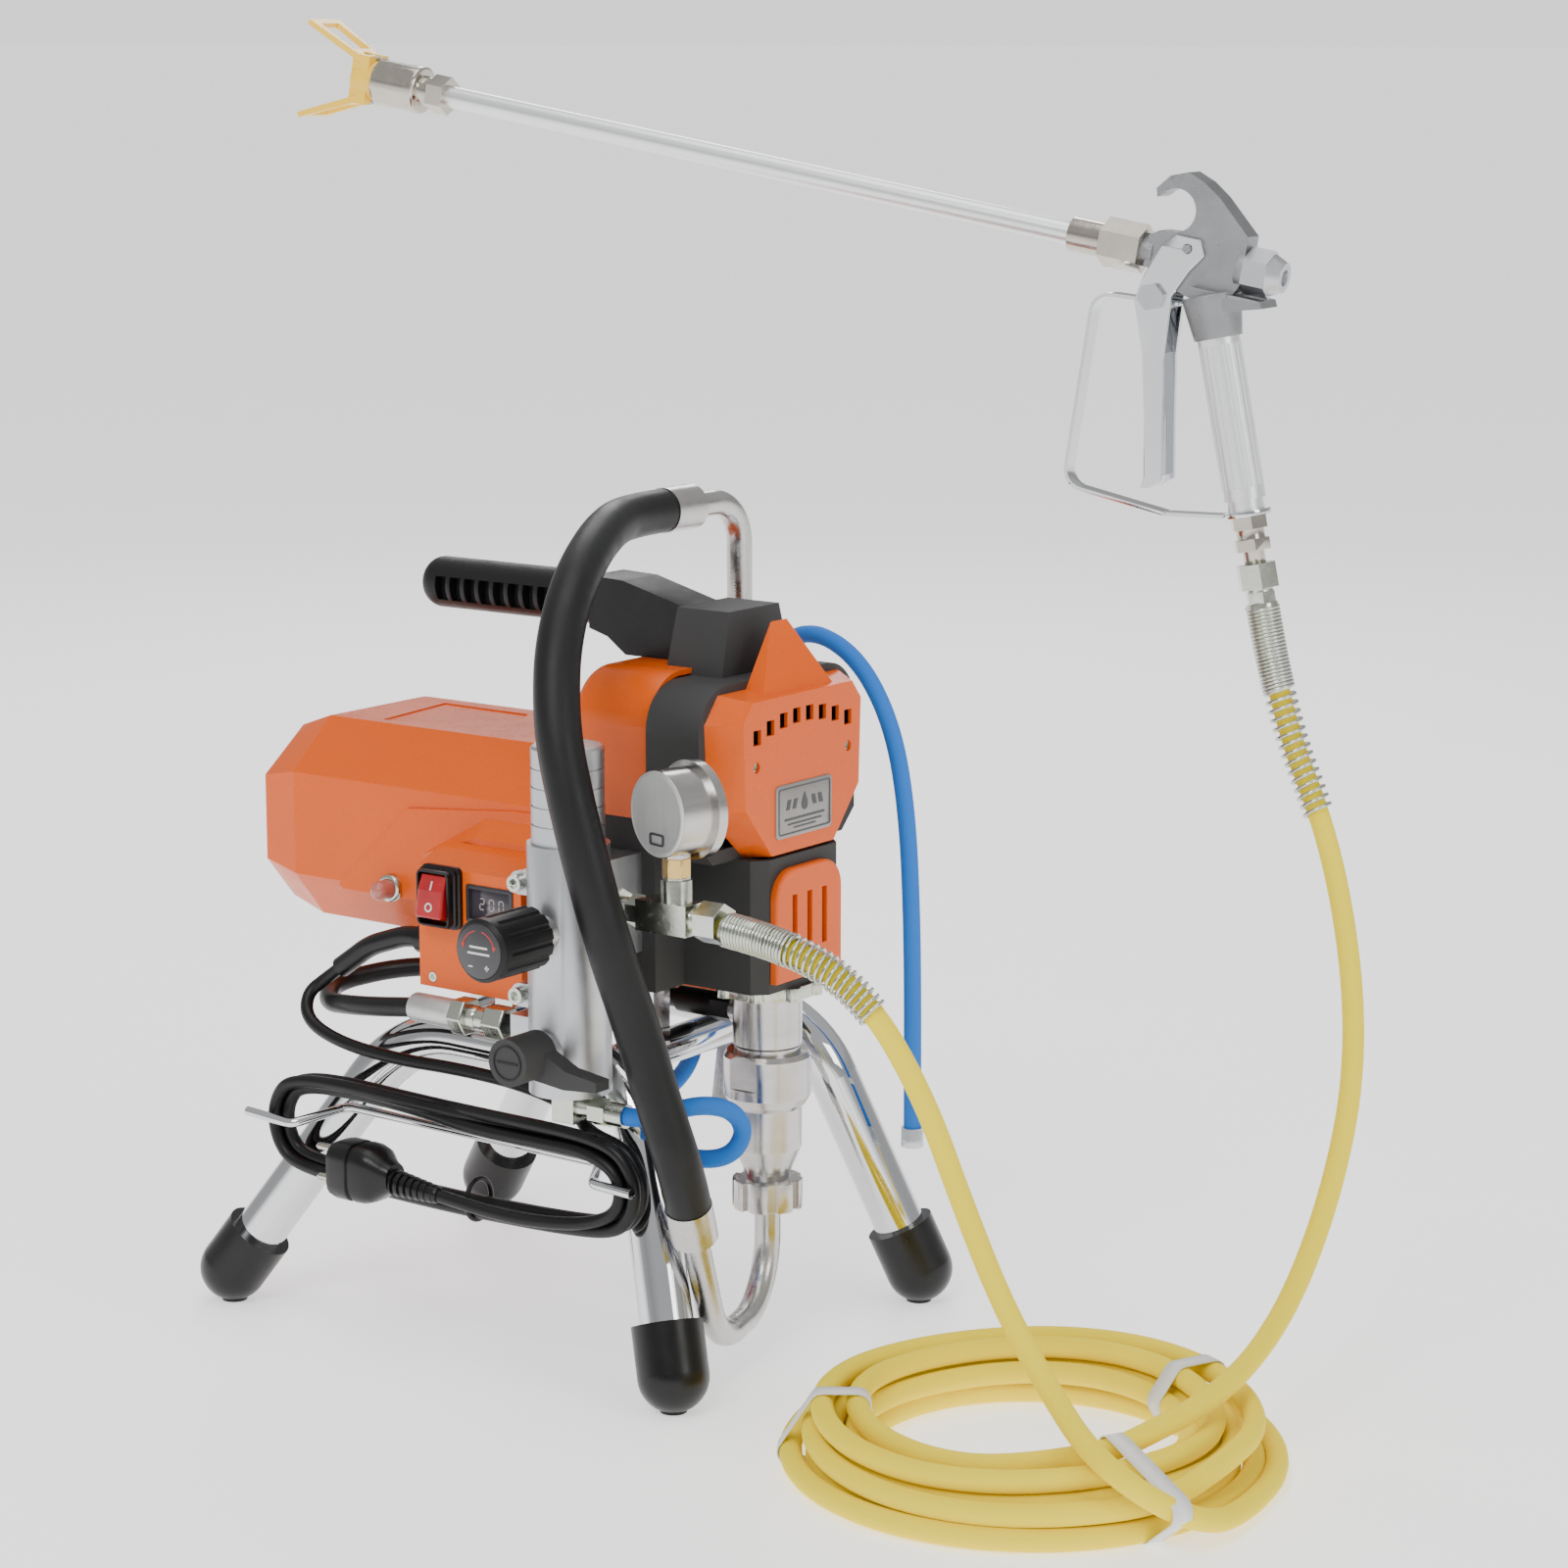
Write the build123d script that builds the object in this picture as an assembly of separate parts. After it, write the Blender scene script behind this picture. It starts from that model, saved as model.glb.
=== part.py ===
from build123d import *
import os
from math import atan2, cos, degrees, pi, radians, sin, sqrt, tan

# Airless paint sprayer on a tube stand, with its hose, gun, extension pole and power cord.
# Millimetres. The sprayer is drawn about the middle of its stand: the drive end with the
# pump is at -Y, the side with the controls at -X, the floor at z = 0. Every node is moved
# by ORIGIN_SHIFT on export, so the origin is under the middle of everything but the cords.
ORIGIN_SHIFT = (-2.4, 39.6, 0.0)

# stand
TUBE_R = 16.0
TUBE_WALL = 1.5
FOOT_R = 21.3
FOOT_FLAT_R = 8.0
RESET_AT, RESET_R = (77.5, 271.7), 6.0
FOOT_SLEEVE = 31.0
LEG_X, LEG_FRONT_Y, LEG_REAR_Y = 127.0, -175.0, 177.0
RAIL_X, RAIL_Z = 86.0, 186.0
BEND_FRONT_Y, BEND_REAR_Y = -116.0, 61.5
BEND_FRONT_R, BEND_REAR_R = 60.0, 85.0
CROSS_R = 11.0
CROSS_Y = (-94.0, 30.0)
POST_X = 45.0
HOOK_R = 3.0

# motor and drive: both shafts run along Y at x = 0
MOTOR_Z = 303.0
COVER_FRONT_Y, COVER_STEP_Y, COVER_REAR_Y = -58.0, 160.0, 190.0
WALL = 2.5
HANDLE_Z, GRIP_TUBE_R = 451.0, 16.0
CRANK_Z = 350.0
STROKE = 25.0
PUMP_Y = -149.5
FINE_MODULE, PINION_TEETH, WHEEL_TEETH = 1.25, 12, 48
COARSE_MODULE, SECOND_TEETH, CRANK_TEETH = 1.5, 14, 50
FRAME_FRONT_Y, FRAME_WALL_Y, HOUSING_FRONT_Y = -158.0, -128.0, -119.0
RUN_GAP = 0.05

# fluid section
ROD_R = 8.0
CYLINDER_R, CYLINDER_BORE_R = 21.0, 15.08
PICKUP_X = 110.0
MANIFOLD_X, MANIFOLD_Y, MANIFOLD_R = -128.0, -101.0, 24.4
MANIFOLD_BOTTOM, MANIFOLD_TOP, CAP_TOP = 182.0, 330.0, 387.0
KNOB_Z, PRIME_Z, DRAIN_Z = 280.0, 210.0, 172.5
BORE_FLOOR = 197.0
LUG_Y, LUG_Z = -75.0, (238.0, 305.0)
OUTLET_Z = 296.0
GAUGE_Y, GAUGE_Z, GAUGE_TURN = -180.0, 357.0, -15.0

# controls
BOX_FRONT_X, BOX_BACK_X = -120.0, -93.0
BOX_Y0, BOX_Y1 = -58.0, 22.0
ROCKER_Y, ROCKER_Z, ROCKER_TILT = 2.0, 283.0, 10.0

# gun: its own frame has x forward along the pole, z up; the origin is at the pole's rear end
GUN_AT = (185.8, -270.2, 665.7)
GUN_FORWARD = (-0.1369, 0.9754, 0.1729)
GUN_UP = (0.0240, -0.1712, 0.9849)
GRIP_TOP, GRIP_BOTTOM = (-78.0, -42.0), (-113.0, -132.0)
GRIP_R = 12.8
TRIGGER_PIN = (-52.7, 7.1)
POLE_R, POLE_END = 7.0, 490.0
GUARD_AT = 540.0

# cords: outer radius and route of each
PAINT_HOSE_R, SUCTION_R, DRAIN_R, CORD_R, WHIP_R = 6.5, 13.5, 5.5, 4.0, 6.0
U_PLANE = (-0.9613, -0.2756)
U_ROUTE = [(0, 107), (0, 30), (86, 28), (131, 126)]
SUCTION_ROUTE = [(-126, -185.7, 126.3), (-135.5, -188.4, 148), (-139, -175, 187), (-144, -164, 230),
                 (-156, -155, 275), (-161, -143, 321), (-161, -131, 360), (-158, -120, 392),
                 (-151, -112, 418), (-138, -103, 444), (-116, -93, 469), (-80, -77, 488),
                 (-36, -58, 500), (-2, -47, 503), (31.5, -47, 503)]
DRAIN_ROUTE = [(-128, -143.3, 172.5), (-128, -155, 173), (-112, -164, 176), (-90, -171, 176), (-68, -175, 168),
               (-56, -175, 152), (-64, -169, 137), (-78, -150, 136), (-60, -105, 137), (0, -62, 140), (62, -40, 142),
               (112, -10, 148), (132, -2, 196), (131, -8, 262), (129, -24, 330), (128, -46, 384),
               (122, -76, 417), (111, -110, 424), (106.5, -144, 408), (105.5, -168, 370), (105, -179, 318),
               (105, -183, 250), (105, -184, 180), (104.5, -184.5, 112)]
LEAD_ROUTE = [(-128, -216, 293.4), (-128, -262, 290), (-122, -308, 266), (-116, -342, 214),
              (-114, -367, 156), (-117, -396, 104), (-130, -436, 66), (-152, -474, 48.5)]
RISE_TAIL = [(203, -417, 318), (187, -444, 244), (163, -460, 182), (128, -466, 122), (80, -468, 72),
             (20, -474, 52), (-40, -486, 48.5)]
COIL_AT, COIL_OUTER_R, COIL_INNER_R, COIL_H = (-80.0, -386.0), 150.0, 89.0, 41.0
WHIP_ROUTE = [(0, -84, 209), (0, -40, 209), (-10, 14, 213), (-26, 64, 214), (-48, 108, 210),
              (-78, 132, 203), (-106, 112, 199), (-122, 68, 206), (-127, 16, 214)]
LEAD_CORD_ROUTE = [(-106.3, 99.4, 222.7), (-106.8, 111, 214.4), (-115, 120, 205), (-124, 112, 191),
                   (-127, 82, 182), (-125, 38, 178), (-120, -10, 178), (-114, -55, 174), (-112, -92, 166),
                   (-119, -124, 157)]
HANK_X, HANK_THICK = -141.5, 17.0
WHIP_END_Y = -64.0
HANK_Y, HANK_Z = (-155.0, 129.0), (96.0, 163.0)
HANK_BAND = 21.0


def unit(v):
    n = sqrt(sum(c * c for c in v))
    return tuple(c / n for c in v)


def rod(p, q, r):
    """Solid cylinder from p to q."""
    axis = Vector(*q) - Vector(*p)
    return Plane(origin=p, z_dir=axis) * Cylinder(r, axis.length, align=(Align.CENTER, Align.CENTER, Align.MIN))


def pipe(p, q, r, bore):
    """Hollow cylinder from p to q."""
    return rod(p, q, r) - rod(p, q, bore)


def block(x0, x1, y0, y1, z0, z1):
    return Pos((x0 + x1) / 2, (y0 + y1) / 2, (z0 + z1) / 2) * Box(x1 - x0, y1 - y0, z1 - z0)


def hexagon(p, q, across_flats, turn=0.0):
    """Hexagonal prism from p to q."""
    axis = Vector(*q) - Vector(*p)
    sketch = RegularPolygon(across_flats / 2, 6, major_radius=False, rotation=turn)
    return extrude(Plane(origin=p, z_dir=axis) * sketch, axis.length)


def facing_front(y):
    """Sketch plane whose own x, y are the model's X, Z and whose normal is -Y."""
    return Plane(origin=(0, y, 0), x_dir=(1, 0, 0), z_dir=(0, -1, 0))


def facing_near(x):
    """Sketch plane whose own x, y are the model's -Y, Z and whose normal is -X."""
    return Plane(origin=(x, 0, 0), x_dir=(0, -1, 0), z_dir=(-1, 0, 0))


def facing_side(x):
    """Sketch plane whose own x, y are the model's Y, Z and whose normal is +X."""
    return Plane(origin=(x, 0, 0), x_dir=(0, 1, 0), z_dir=(1, 0, 0))


def polygon(plane, points):
    return plane * make_face(Polyline(*points, close=True).edges())


def corner_turns(points):
    """Turn in degrees at each inner point of a route, and the shorter run beside it."""
    turns = []
    for a, b, c in zip(points, points[1:], points[2:]):
        into, out = Vector(*b) - Vector(*a), Vector(*c) - Vector(*b)
        turns.append((into.get_angle(out), min(into.length, out.length)))
    return turns


def swept(points, radii, r, bore=0.0):
    path = FilletPolyline(*points, radius=radii)
    start = Plane(origin=path @ 0, z_dir=path % 0)
    solid = sweep(start * Circle(r), path=path)
    if bore:
        solid -= sweep(start * Circle(bore), path=path)
    return solid, path.length


def cord(name, points, r):
    """Plain cord: straight runs joined by the largest tangent arcs that the runs allow."""
    radii = [0.45 * run / tan(radians(turn / 2)) for turn, run in corner_turns(points)]
    solid, length = swept(points, radii, r)
    ratio = solid.volume / (pi * r * r * length)
    print(f"{name}: length {length:.0f} mm, volume ratio {ratio:.4f}, smallest radius "
          f"{min(radii) / (2 * r):.1f} diameters, radii {[round(x) for x in radii]}")
    return solid


# ---------------------------------------------------------------- stand

def leg_ends(side):
    """Centres of the front and rear feet and the two bends of one side tube."""
    return ((side * LEG_X, LEG_FRONT_Y, FOOT_R), (side * RAIL_X, BEND_FRONT_Y, RAIL_Z),
            (side * RAIL_X, BEND_REAR_Y, RAIL_Z), (side * LEG_X, LEG_REAR_Y, FOOT_R))


def side_tube(side, bore=TUBE_R - TUBE_WALL):
    return swept(leg_ends(side), [BEND_FRONT_R, BEND_REAR_R], TUBE_R, bore)[0]


def foot(centre, towards):
    along = unit(tuple(b - a for a, b in zip(centre, towards)))
    rim = tuple(c + FOOT_SLEEVE * a for c, a in zip(centre, along))
    x, y, z = centre
    pad = rod((x, y, 0), (x, y, z), FOOT_FLAT_R)
    return pad + Pos(*centre) * Sphere(FOOT_R) + rod(centre, rim, FOOT_R) - rod(centre, rim, TUBE_R)


def rubber_feet():
    feet = []
    for side in (-1, 1):
        front, front_bend, rear_bend, rear = leg_ends(side)
        feet += [foot(front, front_bend), foot(rear, rear_bend)]
    return Compound(feet)


def cross_rails():
    """Two rails between the side tubes, each with two posts that carry the machine."""
    solids = []
    sides = side_tube(-1, 0.0) + side_tube(1, 0.0)
    for y, top in zip(CROSS_Y, (231.0, 240.0)):
        rail = rod((-RAIL_X, y, RAIL_Z), (RAIL_X, y, RAIL_Z), CROSS_R) - sides
        for x in (-POST_X, POST_X):
            rail += block(x - 8, x + 8, y - 10, y + 10, RAIL_Z, top)
        solids.append(rail)
    return Compound(solids)


def cord_hook():
    path = [(-146, 143, 133), (-146, 106, 131), (-117.5, 84, 139), (-117.5, -114, 137),
            (-145, -130, 134), (-146, -160, 133)]
    return swept(path, [8, 12, 12, 8], HOOK_R)[0]


# ---------------------------------------------------------------- gears

def involute_gear(module, teeth, y0, y1, at, phase):
    """Spur gear along Y with a tooth centred at the angle phase, in degrees."""
    pitch = module * teeth / 2
    base, tip, root = pitch * cos(radians(20)), pitch + module, pitch - 1.25 * module
    low = max(base, root)

    def involute(radius):
        t = sqrt((radius / base) ** 2 - 1)
        return t - atan2(t, 1)

    half = (pi / 2 - 0.12 / module) / teeth
    points = []
    for tooth in range(teeth):
        middle = radians(phase) + 2 * pi * tooth / teeth
        flank = []
        for step in range(4):
            radius = low + (tip - low) * step / 3
            flank.append((radius, half + involute(pitch) - involute(radius)))
        if root < low:
            flank.insert(0, (root, flank[0][1]))
        points += [(r, middle - a) for r, a in flank] + [(r, middle + a) for r, a in reversed(flank)]
    corners = [(at[0] + r * cos(a), at[1] + r * sin(a)) for r, a in points]
    return extrude(polygon(facing_front(y1), corners), y1 - y0)


def idler_place():
    """Centre of the reduction gear, from the two centre distances."""
    first = FINE_MODULE * (PINION_TEETH + WHEEL_TEETH) / 2
    second = COARSE_MODULE * (SECOND_TEETH + CRANK_TEETH) / 2
    gap = CRANK_Z - MOTOR_Z
    up = (first ** 2 - second ** 2 + gap ** 2) / (2 * gap)
    return sqrt(first ** 2 - up ** 2), MOTOR_Z + up


IDLER = idler_place()
FIRST_MESH = degrees(atan2(IDLER[1] - MOTOR_Z, IDLER[0]))
SECOND_MESH = degrees(atan2(CRANK_Z - IDLER[1], -IDLER[0]))


def motor_rotor():
    """Shaft with its pinion teeth, core, commutator and fan."""
    shaft = rod((0, -82, MOTOR_Z), (0, 176, MOTOR_Z), 5.0)
    shaft += involute_gear(FINE_MODULE, PINION_TEETH, -82, -71, (0, MOTOR_Z), FIRST_MESH)
    core = rod((0, 22, MOTOR_Z), (0, 108, MOTOR_Z), 29.5)
    for k in range(12):
        a = 2 * pi * k / 12
        core -= rod((26 * cos(a), 20, MOTOR_Z + 26 * sin(a)), (26 * cos(a), 110, MOTOR_Z + 26 * sin(a)), 2.5)
    fan = rod((0, 163, MOTOR_Z), (0, 175, MOTOR_Z), 14) + rod((0, 163, MOTOR_Z), (0, 165, MOTOR_Z), 46)
    for k in range(9):
        fan += Pos(0, 169, MOTOR_Z) * Rot(0, 40 * k, 0) * (Pos(0, 0, 30) * Rot(0, 0, 12) * Box(2.5, 11, 31))
    return shaft + core + rod((0, 114, MOTOR_Z), (0, 130, MOTOR_Z), 13) + fan


def motor_stator():
    """Laminated ring and the rear bell that holds a bearing."""
    ring = pipe((0, 20, MOTOR_Z), (0, 110, MOTOR_Z), 52, 36)
    for k in range(4):
        a = radians(45 + 90 * k)
        pole = Pos(33.5 * cos(a), 65, MOTOR_Z + 33.5 * sin(a)) * Rot(0, -degrees(a), 0) * Box(6, 80, 24)
        ring += pole - rod((0, 0, MOTOR_Z), (0, 130, MOTOR_Z), 30.3)
    for k in range(4):
        a = radians(90 * k)
        x, z = 47 * cos(a), MOTOR_Z + 47 * sin(a)
        ring += rod((x, 110, z), (x, 150, z), 4)
    bell = rod((0, 150, MOTOR_Z), (0, 154, MOTOR_Z), 52) + rod((0, 150, MOTOR_Z), (0, 159, MOTOR_Z), 19)
    bell -= rod((0, 149, MOTOR_Z), (0, 160, MOTOR_Z), 15)
    for k in range(6):
        a = radians(60 * k + 30)
        x, z = 33 * cos(a), MOTOR_Z + 33 * sin(a)
        bell -= rod((x, 149, z), (x, 155, z), 9)
    return Compound([ring, bell])


def bearings():
    seats = [((0, MOTOR_Z), -64, -55, 15, 5.0), ((0, MOTOR_Z), 150, 159, 15, 5.0),
             ((0, CRANK_Z), -128, -119, 21, 10.0)]
    return Compound([pipe((x, y0, z), (x, y1, z), outer, inner + RUN_GAP)
                     for (x, z), y0, y1, outer, inner in seats])


def reduction_gear():
    x, z = IDLER
    wheel = involute_gear(FINE_MODULE, WHEEL_TEETH, -81.5, -71.5, IDLER, FIRST_MESH + 180 + 180 / WHEEL_TEETH)
    pinion = involute_gear(COARSE_MODULE, SECOND_TEETH, -98, -81.5, IDLER, SECOND_MESH)
    return wheel + pinion + rod((x, -124, z), (x, -60, z), 4)


def crankshaft():
    """Crank gear, shaft, disc and pin, with the pin at its lowest."""
    gear = involute_gear(COARSE_MODULE, CRANK_TEETH, -97, -86, (0, CRANK_Z),
                         SECOND_MESH + 180 + 180 / CRANK_TEETH)
    shaft = rod((0, -130, CRANK_Z), (0, -84, CRANK_Z), 10)
    disc = rod((0, -138, CRANK_Z), (0, -130, CRANK_Z), 25)
    pin_z = CRANK_Z - STROKE / 2
    return gear + shaft + disc + rod((0, -158.5, pin_z), (0, -138, pin_z), 6)


def connecting_rod():
    """Big end round the crank pin and a fork whose cheeks straddle the piston rod's head."""
    pin_z = CRANK_Z - STROKE / 2
    body = rod((0, -157, pin_z), (0, -142, pin_z), 13) + block(-9, 9, -157, -142, 262, pin_z)
    body -= block(-10, 10, -153.5, -145.5, 250, 303)
    return body - rod((0, -160, pin_z), (0, -140, pin_z), 6 + RUN_GAP)


# ---------------------------------------------------------------- motor end covers

COVER_SECTION = [(-45, 366), (45, 366), (80, 335), (80, 270), (55, 240), (-55, 240), (-80, 270), (-80, 335)]
COVER_END = [(-38, 356), (38, 356), (74, 329), (74, 275), (50, 247), (-50, 247), (-74, 275), (-74, 329)]


def cover_form(inset, front_y, rear_y):
    section = make_face(Polyline(*COVER_SECTION, close=True).edges())
    end = make_face(Polyline(*COVER_END, close=True).edges())
    if inset:
        section, end = offset(section, amount=-inset), offset(end, amount=-inset)
    at_front, at_step = facing_front(front_y), facing_front(COVER_STEP_Y)
    straight = extrude(at_step * section, COVER_STEP_Y - front_y)
    return straight + loft([at_step * section, facing_front(rear_y) * end])


def motor_cover():
    """Faceted shell with the bulge that carries the control box and a raised side panel."""
    bulge = extrude(polygon(facing_front(0), [(-78, 328), (-93, 314), (-93, 232), (-84, 224), (-60, 224), (-60, 242)]),
                    58) + loft([polygon(facing_front(0), [(-78, 328), (-93, 314), (-93, 232), (-84, 224),
                                                         (-60, 224), (-60, 242)]),
                                polygon(facing_front(52), [(-78, 300), (-82, 296), (-82, 262), (-80, 258),
                                                          (-60, 250), (-60, 270)])])
    panel = extrude(polygon(facing_near(-78), [(-122, 268), (-64, 323), (22, 331), (58, 331), (58, 266), (-118, 266)]), 4)
    shell = cover_form(0, COVER_FRONT_Y, COVER_REAR_Y) + bulge + panel
    shell -= cover_form(WALL, COVER_FRONT_Y - 1, COVER_REAR_Y - WALL)
    louvre = make_face(Polyline((-37, 123), (33, 132), (31, 61), (-11, 39), close=True).edges())
    shell -= extrude(Pos(0, 0, 365) * louvre, 2)
    return shell - rod((-85, *RESET_AT), (-79.5, *RESET_AT), RESET_R + 0.4)


def rounded_arch(half, low, high, corner):
    """Upright outline with rounded upper corners."""
    sketch = Pos(0, (low + high) / 2) * Rectangle(2 * half, high - low)
    upper = [v for v in sketch.vertices() if v.Y > (low + high) / 2]
    return fillet(upper, corner)


def gear_housing():
    outer = extrude(facing_front(COVER_FRONT_Y) * rounded_arch(75, 336, 421, 30), 61)
    rear_edges = outer.faces().sort_by(Axis.Y)[-1].edges().filter_by(lambda e: e.center().Z > 340)
    outer = fillet(rear_edges, 12)
    inner = extrude(facing_front(COVER_FRONT_Y - WALL) * rounded_arch(72, 330, 418, 27), 61)
    return outer - inner


def drive_frame():
    """Moulded black frame: rear gear case, bearing wall, open crank chamber and handle riser."""
    case = block(-70, 70, -119, -58, 231, 336) - block(-45, 67.5, -117, -64, 250, 340)
    outline = rounded_arch(78, 312, 417, 28)
    outline = chamfer([v for v in outline.vertices() if v.Y < 320], 13)
    band = extrude(facing_front(HOUSING_FRONT_Y) * outline, 39)
    band -= extrude(facing_front(FRAME_WALL_Y) * rounded_arch(66, 320, 406, 22), 40)
    band -= block(-34, 34, -165, -128, 305, 330)
    riser = loft([Pos(0, -121, 414) * Rectangle(70, 42), Pos(0, -121, 455) * Rectangle(50, 38)])
    riser -= block(-80, 80, HOUSING_FRONT_Y, COVER_FRONT_Y, 400, 421)
    frame = case + band + riser
    frame += pipe((0, -64, MOTOR_Z), (0, -55, MOTOR_Z), 19, 15)
    frame -= rod((0, -70, MOTOR_Z), (0, -50, MOTOR_Z), 15)
    frame -= rod((0, -130, CRANK_Z), (0, -118, CRANK_Z), 21)
    x, z = IDLER
    return frame - rod((x, -128, z), (x, -57.9, z), 4 + RUN_GAP)


def front_cover():
    """Shallow orange cover with a bevelled rim, a vent row and the spire that meets the handle."""
    rear = [(-36, 312), (-70, 342), (-73, 396), (-60, 412), (60, 412), (73, 396), (70, 342), (36, 312)]
    face = [(-31, 314), (-57, 345), (-59, 397), (-50, 408), (50, 408), (59, 397), (57, 345), (31, 314)]
    outer = loft([polygon(facing_front(FRAME_FRONT_Y), rear), polygon(facing_front(-176), face)])
    outer += loft([Pos(0, -158, 404) * Rectangle(76, 32), Pos(0, -152, 449) * Rectangle(16, 12)])
    inner_rear = [(x * 0.955, 362 + (z - 362) * 0.94) for x, z in rear]
    inner_face = [(x * 0.95, 362 + (z - 362) * 0.93) for x, z in face]
    inner = loft([polygon(facing_front(FRAME_FRONT_Y + 0.01), inner_rear),
                  polygon(facing_front(-176 + WALL), inner_face)])
    cover = outer - inner
    for k in range(8):
        x = -45.5 + 13 * k
        cover -= Pos(x, -176, 395 - 0.004 * x * x) * Box(7.5, 12, 9)
    for x in (-46, 46):
        cover -= rod((x, -180, 369), (x, -168, 369), 3.2)
    return cover - block(-40, 40, -158, -140, 400, 460)


def lower_housing():
    """Black lower casing round the connecting rod, open at the front behind the door."""
    outer = block(-42, 42, -176, HOUSING_FRONT_Y, 231, 312)
    outer = chamfer(outer.edges().filter_by(Axis.Z).filter_by(lambda e: e.center().Y < -150), 8)
    outer -= block(-34, 34, -171, -126, 236, 313)
    outer -= block(-26, 26, -180, -170, 242, 300)
    outer -= rod((38, -172, 268), (34, -168, 268), 1.6)
    return outer - rod((0, PUMP_Y, 230), (0, PUMP_Y, 240), CYLINDER_R)


def lower_door():
    sketch = Pos(0, 271) * Rectangle(66, 68)
    sketch = fillet([v for v in sketch.vertices() if v.Y > 271], 18)
    door = extrude(facing_front(-176) * sketch, 5)
    door = fillet(door.faces().sort_by(Axis.Y)[0].edges(), 1.5)
    for x in (-15, 0, 15):
        door -= Pos(x, -178, 272) * Box(5, 10, 34)
    return door


def carry_handle():
    """Round grip with open pockets between ribs, on a sloping strut."""
    strut = extrude(polygon(facing_side(-17), [(-28, 467), (-54, 466), (-96, 455), (-100, 454), (-100, 421),
                                               (-56, 421), (-42, 431), (-28, 435)]), 34)
    grip = rod((0, -33, HANDLE_Z), (0, 113, HANDLE_Z), GRIP_TUBE_R)
    grip = fillet(grip.faces().sort_by(Axis.Y)[-1].edges(), 12)
    for k in range(10):
        y = 92 - 11.8 * k
        for side in (-1, 1):
            grip -= Pos(side * 14.5, y, HANDLE_Z - 2) * Box(11, 8.6, 15)
    return strut + grip


def fastener(head, along, head_r, head_h, shank_r, shank):
    """Cap screw: head centred at head, shank running along the given direction."""
    top = tuple(h - head_h * a for h, a in zip(head, along))
    tip = tuple(h + shank * a for h, a in zip(head, along))
    screw = rod(top, head, head_r) + rod(head, tip, shank_r)
    socket = tuple(t + head_h * 0.6 * a for t, a in zip(top, along))
    return screw - hexagon(top, socket, head_r * 1.1)


def fasteners():
    inward, back = (1, 0, 0), (0, 1, 0)
    screws = [fastener((MANIFOLD_X - 14, LUG_Y, z), inward, 5, 5, 3, 14) for z in LUG_Z]
    screws += [fastener((x, -172, 369), back, 3, 2.5, 1.6, 12) for x in (-46, 46)]
    screws += [fastener((38, -172, 268), (-sqrt(0.5), sqrt(0.5), 0), 3.5, 3, 1.6, 3)]
    screws += [fastener((-117.4, 12, 232), inward, 3, 2.5, 1.6, 12)]
    return Compound(screws)


# ---------------------------------------------------------------- pump

def piston_rod():
    """Displacement rod: flat head at the top, piston at the bottom."""
    head = block(-10, 10, PUMP_Y - 3.6, PUMP_Y + 3.6, 252, 275)
    stem = rod((0, PUMP_Y, 152), (0, PUMP_Y, 236), ROD_R)
    stem += rod((0, PUMP_Y, 236), (0, PUMP_Y, 254), ROD_R) & block(-10, 10, PUMP_Y - 3.6, PUMP_Y + 3.6, 236, 254)
    piston = rod((0, PUMP_Y, 150), (0, PUMP_Y, 162), CYLINDER_BORE_R - 0.08)
    return head + stem + piston


def turned(profile):
    """Ring turned about the pump's axis from a list of (radius, z)."""
    plane = Plane(origin=(0, PUMP_Y, 0), x_dir=(1, 0, 0), z_dir=(0, -1, 0))
    face = plane * make_face(Polyline(*profile, close=True).edges())
    return revolve(face, Axis((0, PUMP_Y, 0), (0, 0, 1)))


def pump_internals():
    packing = pipe((0, PUMP_Y, 205), (0, PUMP_Y, 222), CYLINDER_BORE_R, ROD_R + RUN_GAP)
    seat = pipe((0, PUMP_Y, 112), (0, PUMP_Y, 120), 11.9, 6)
    ball = Pos(0, PUMP_Y, 120 + sqrt(81 - 36)) * Sphere(9)
    return Compound([packing, seat, ball])


def clamp_ring():
    ring = rod((0, PUMP_Y, 223), (0, PUMP_Y, 231), 30)
    for k in range(8):
        a = radians(45 * k + 22.5)
        ring += Pos(29 * cos(a), PUMP_Y + 29 * sin(a), 227) * Cylinder(5, 8)
    return ring - rod((0, PUMP_Y, 220), (0, PUMP_Y, 235), CYLINDER_R)


def pump_cylinder():
    body = turned([(CYLINDER_BORE_R, 187), (20, 187), (20, 190), (CYLINDER_R, 191.5), (CYLINDER_R, 239),
                   (CYLINDER_BORE_R, 239)])
    boss = rod((0, PUMP_Y + 16, 209), (0, -126, 209), 9)
    return body + boss - rod((0, PUMP_Y + 8, 209), (0, -120, 209), 4)


def foot_valve_housing():
    body = turned([(CYLINDER_BORE_R, 187), (24.5, 187), (26.5, 184), (26.5, 160), (23.5, 155), (21, 152),
                   (20.7, 127), (14.5, 112), (13, 107), (11.9, 107), (11.9, 122), (CYLINDER_BORE_R, 128)])
    for side in (-1, 1):
        x0, x1 = sorted((side * 24.6, side * 30))
        body -= block(x0, x1, PUMP_Y - 30, PUMP_Y + 30, 166, 190)
    return body


def inlet_nut():
    nut = rod((0, PUMP_Y, 89), (0, PUMP_Y, 107), 21.4) - rod((0, PUMP_Y, 88), (0, PUMP_Y, 108), 8)
    for k in range(8):
        a = 45 * k
        nut -= Pos(0, PUMP_Y, 98) * Rot(0, 0, a) * Pos(21.5, 0, 0) * Box(6, 6, 30)
    return nut


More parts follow.
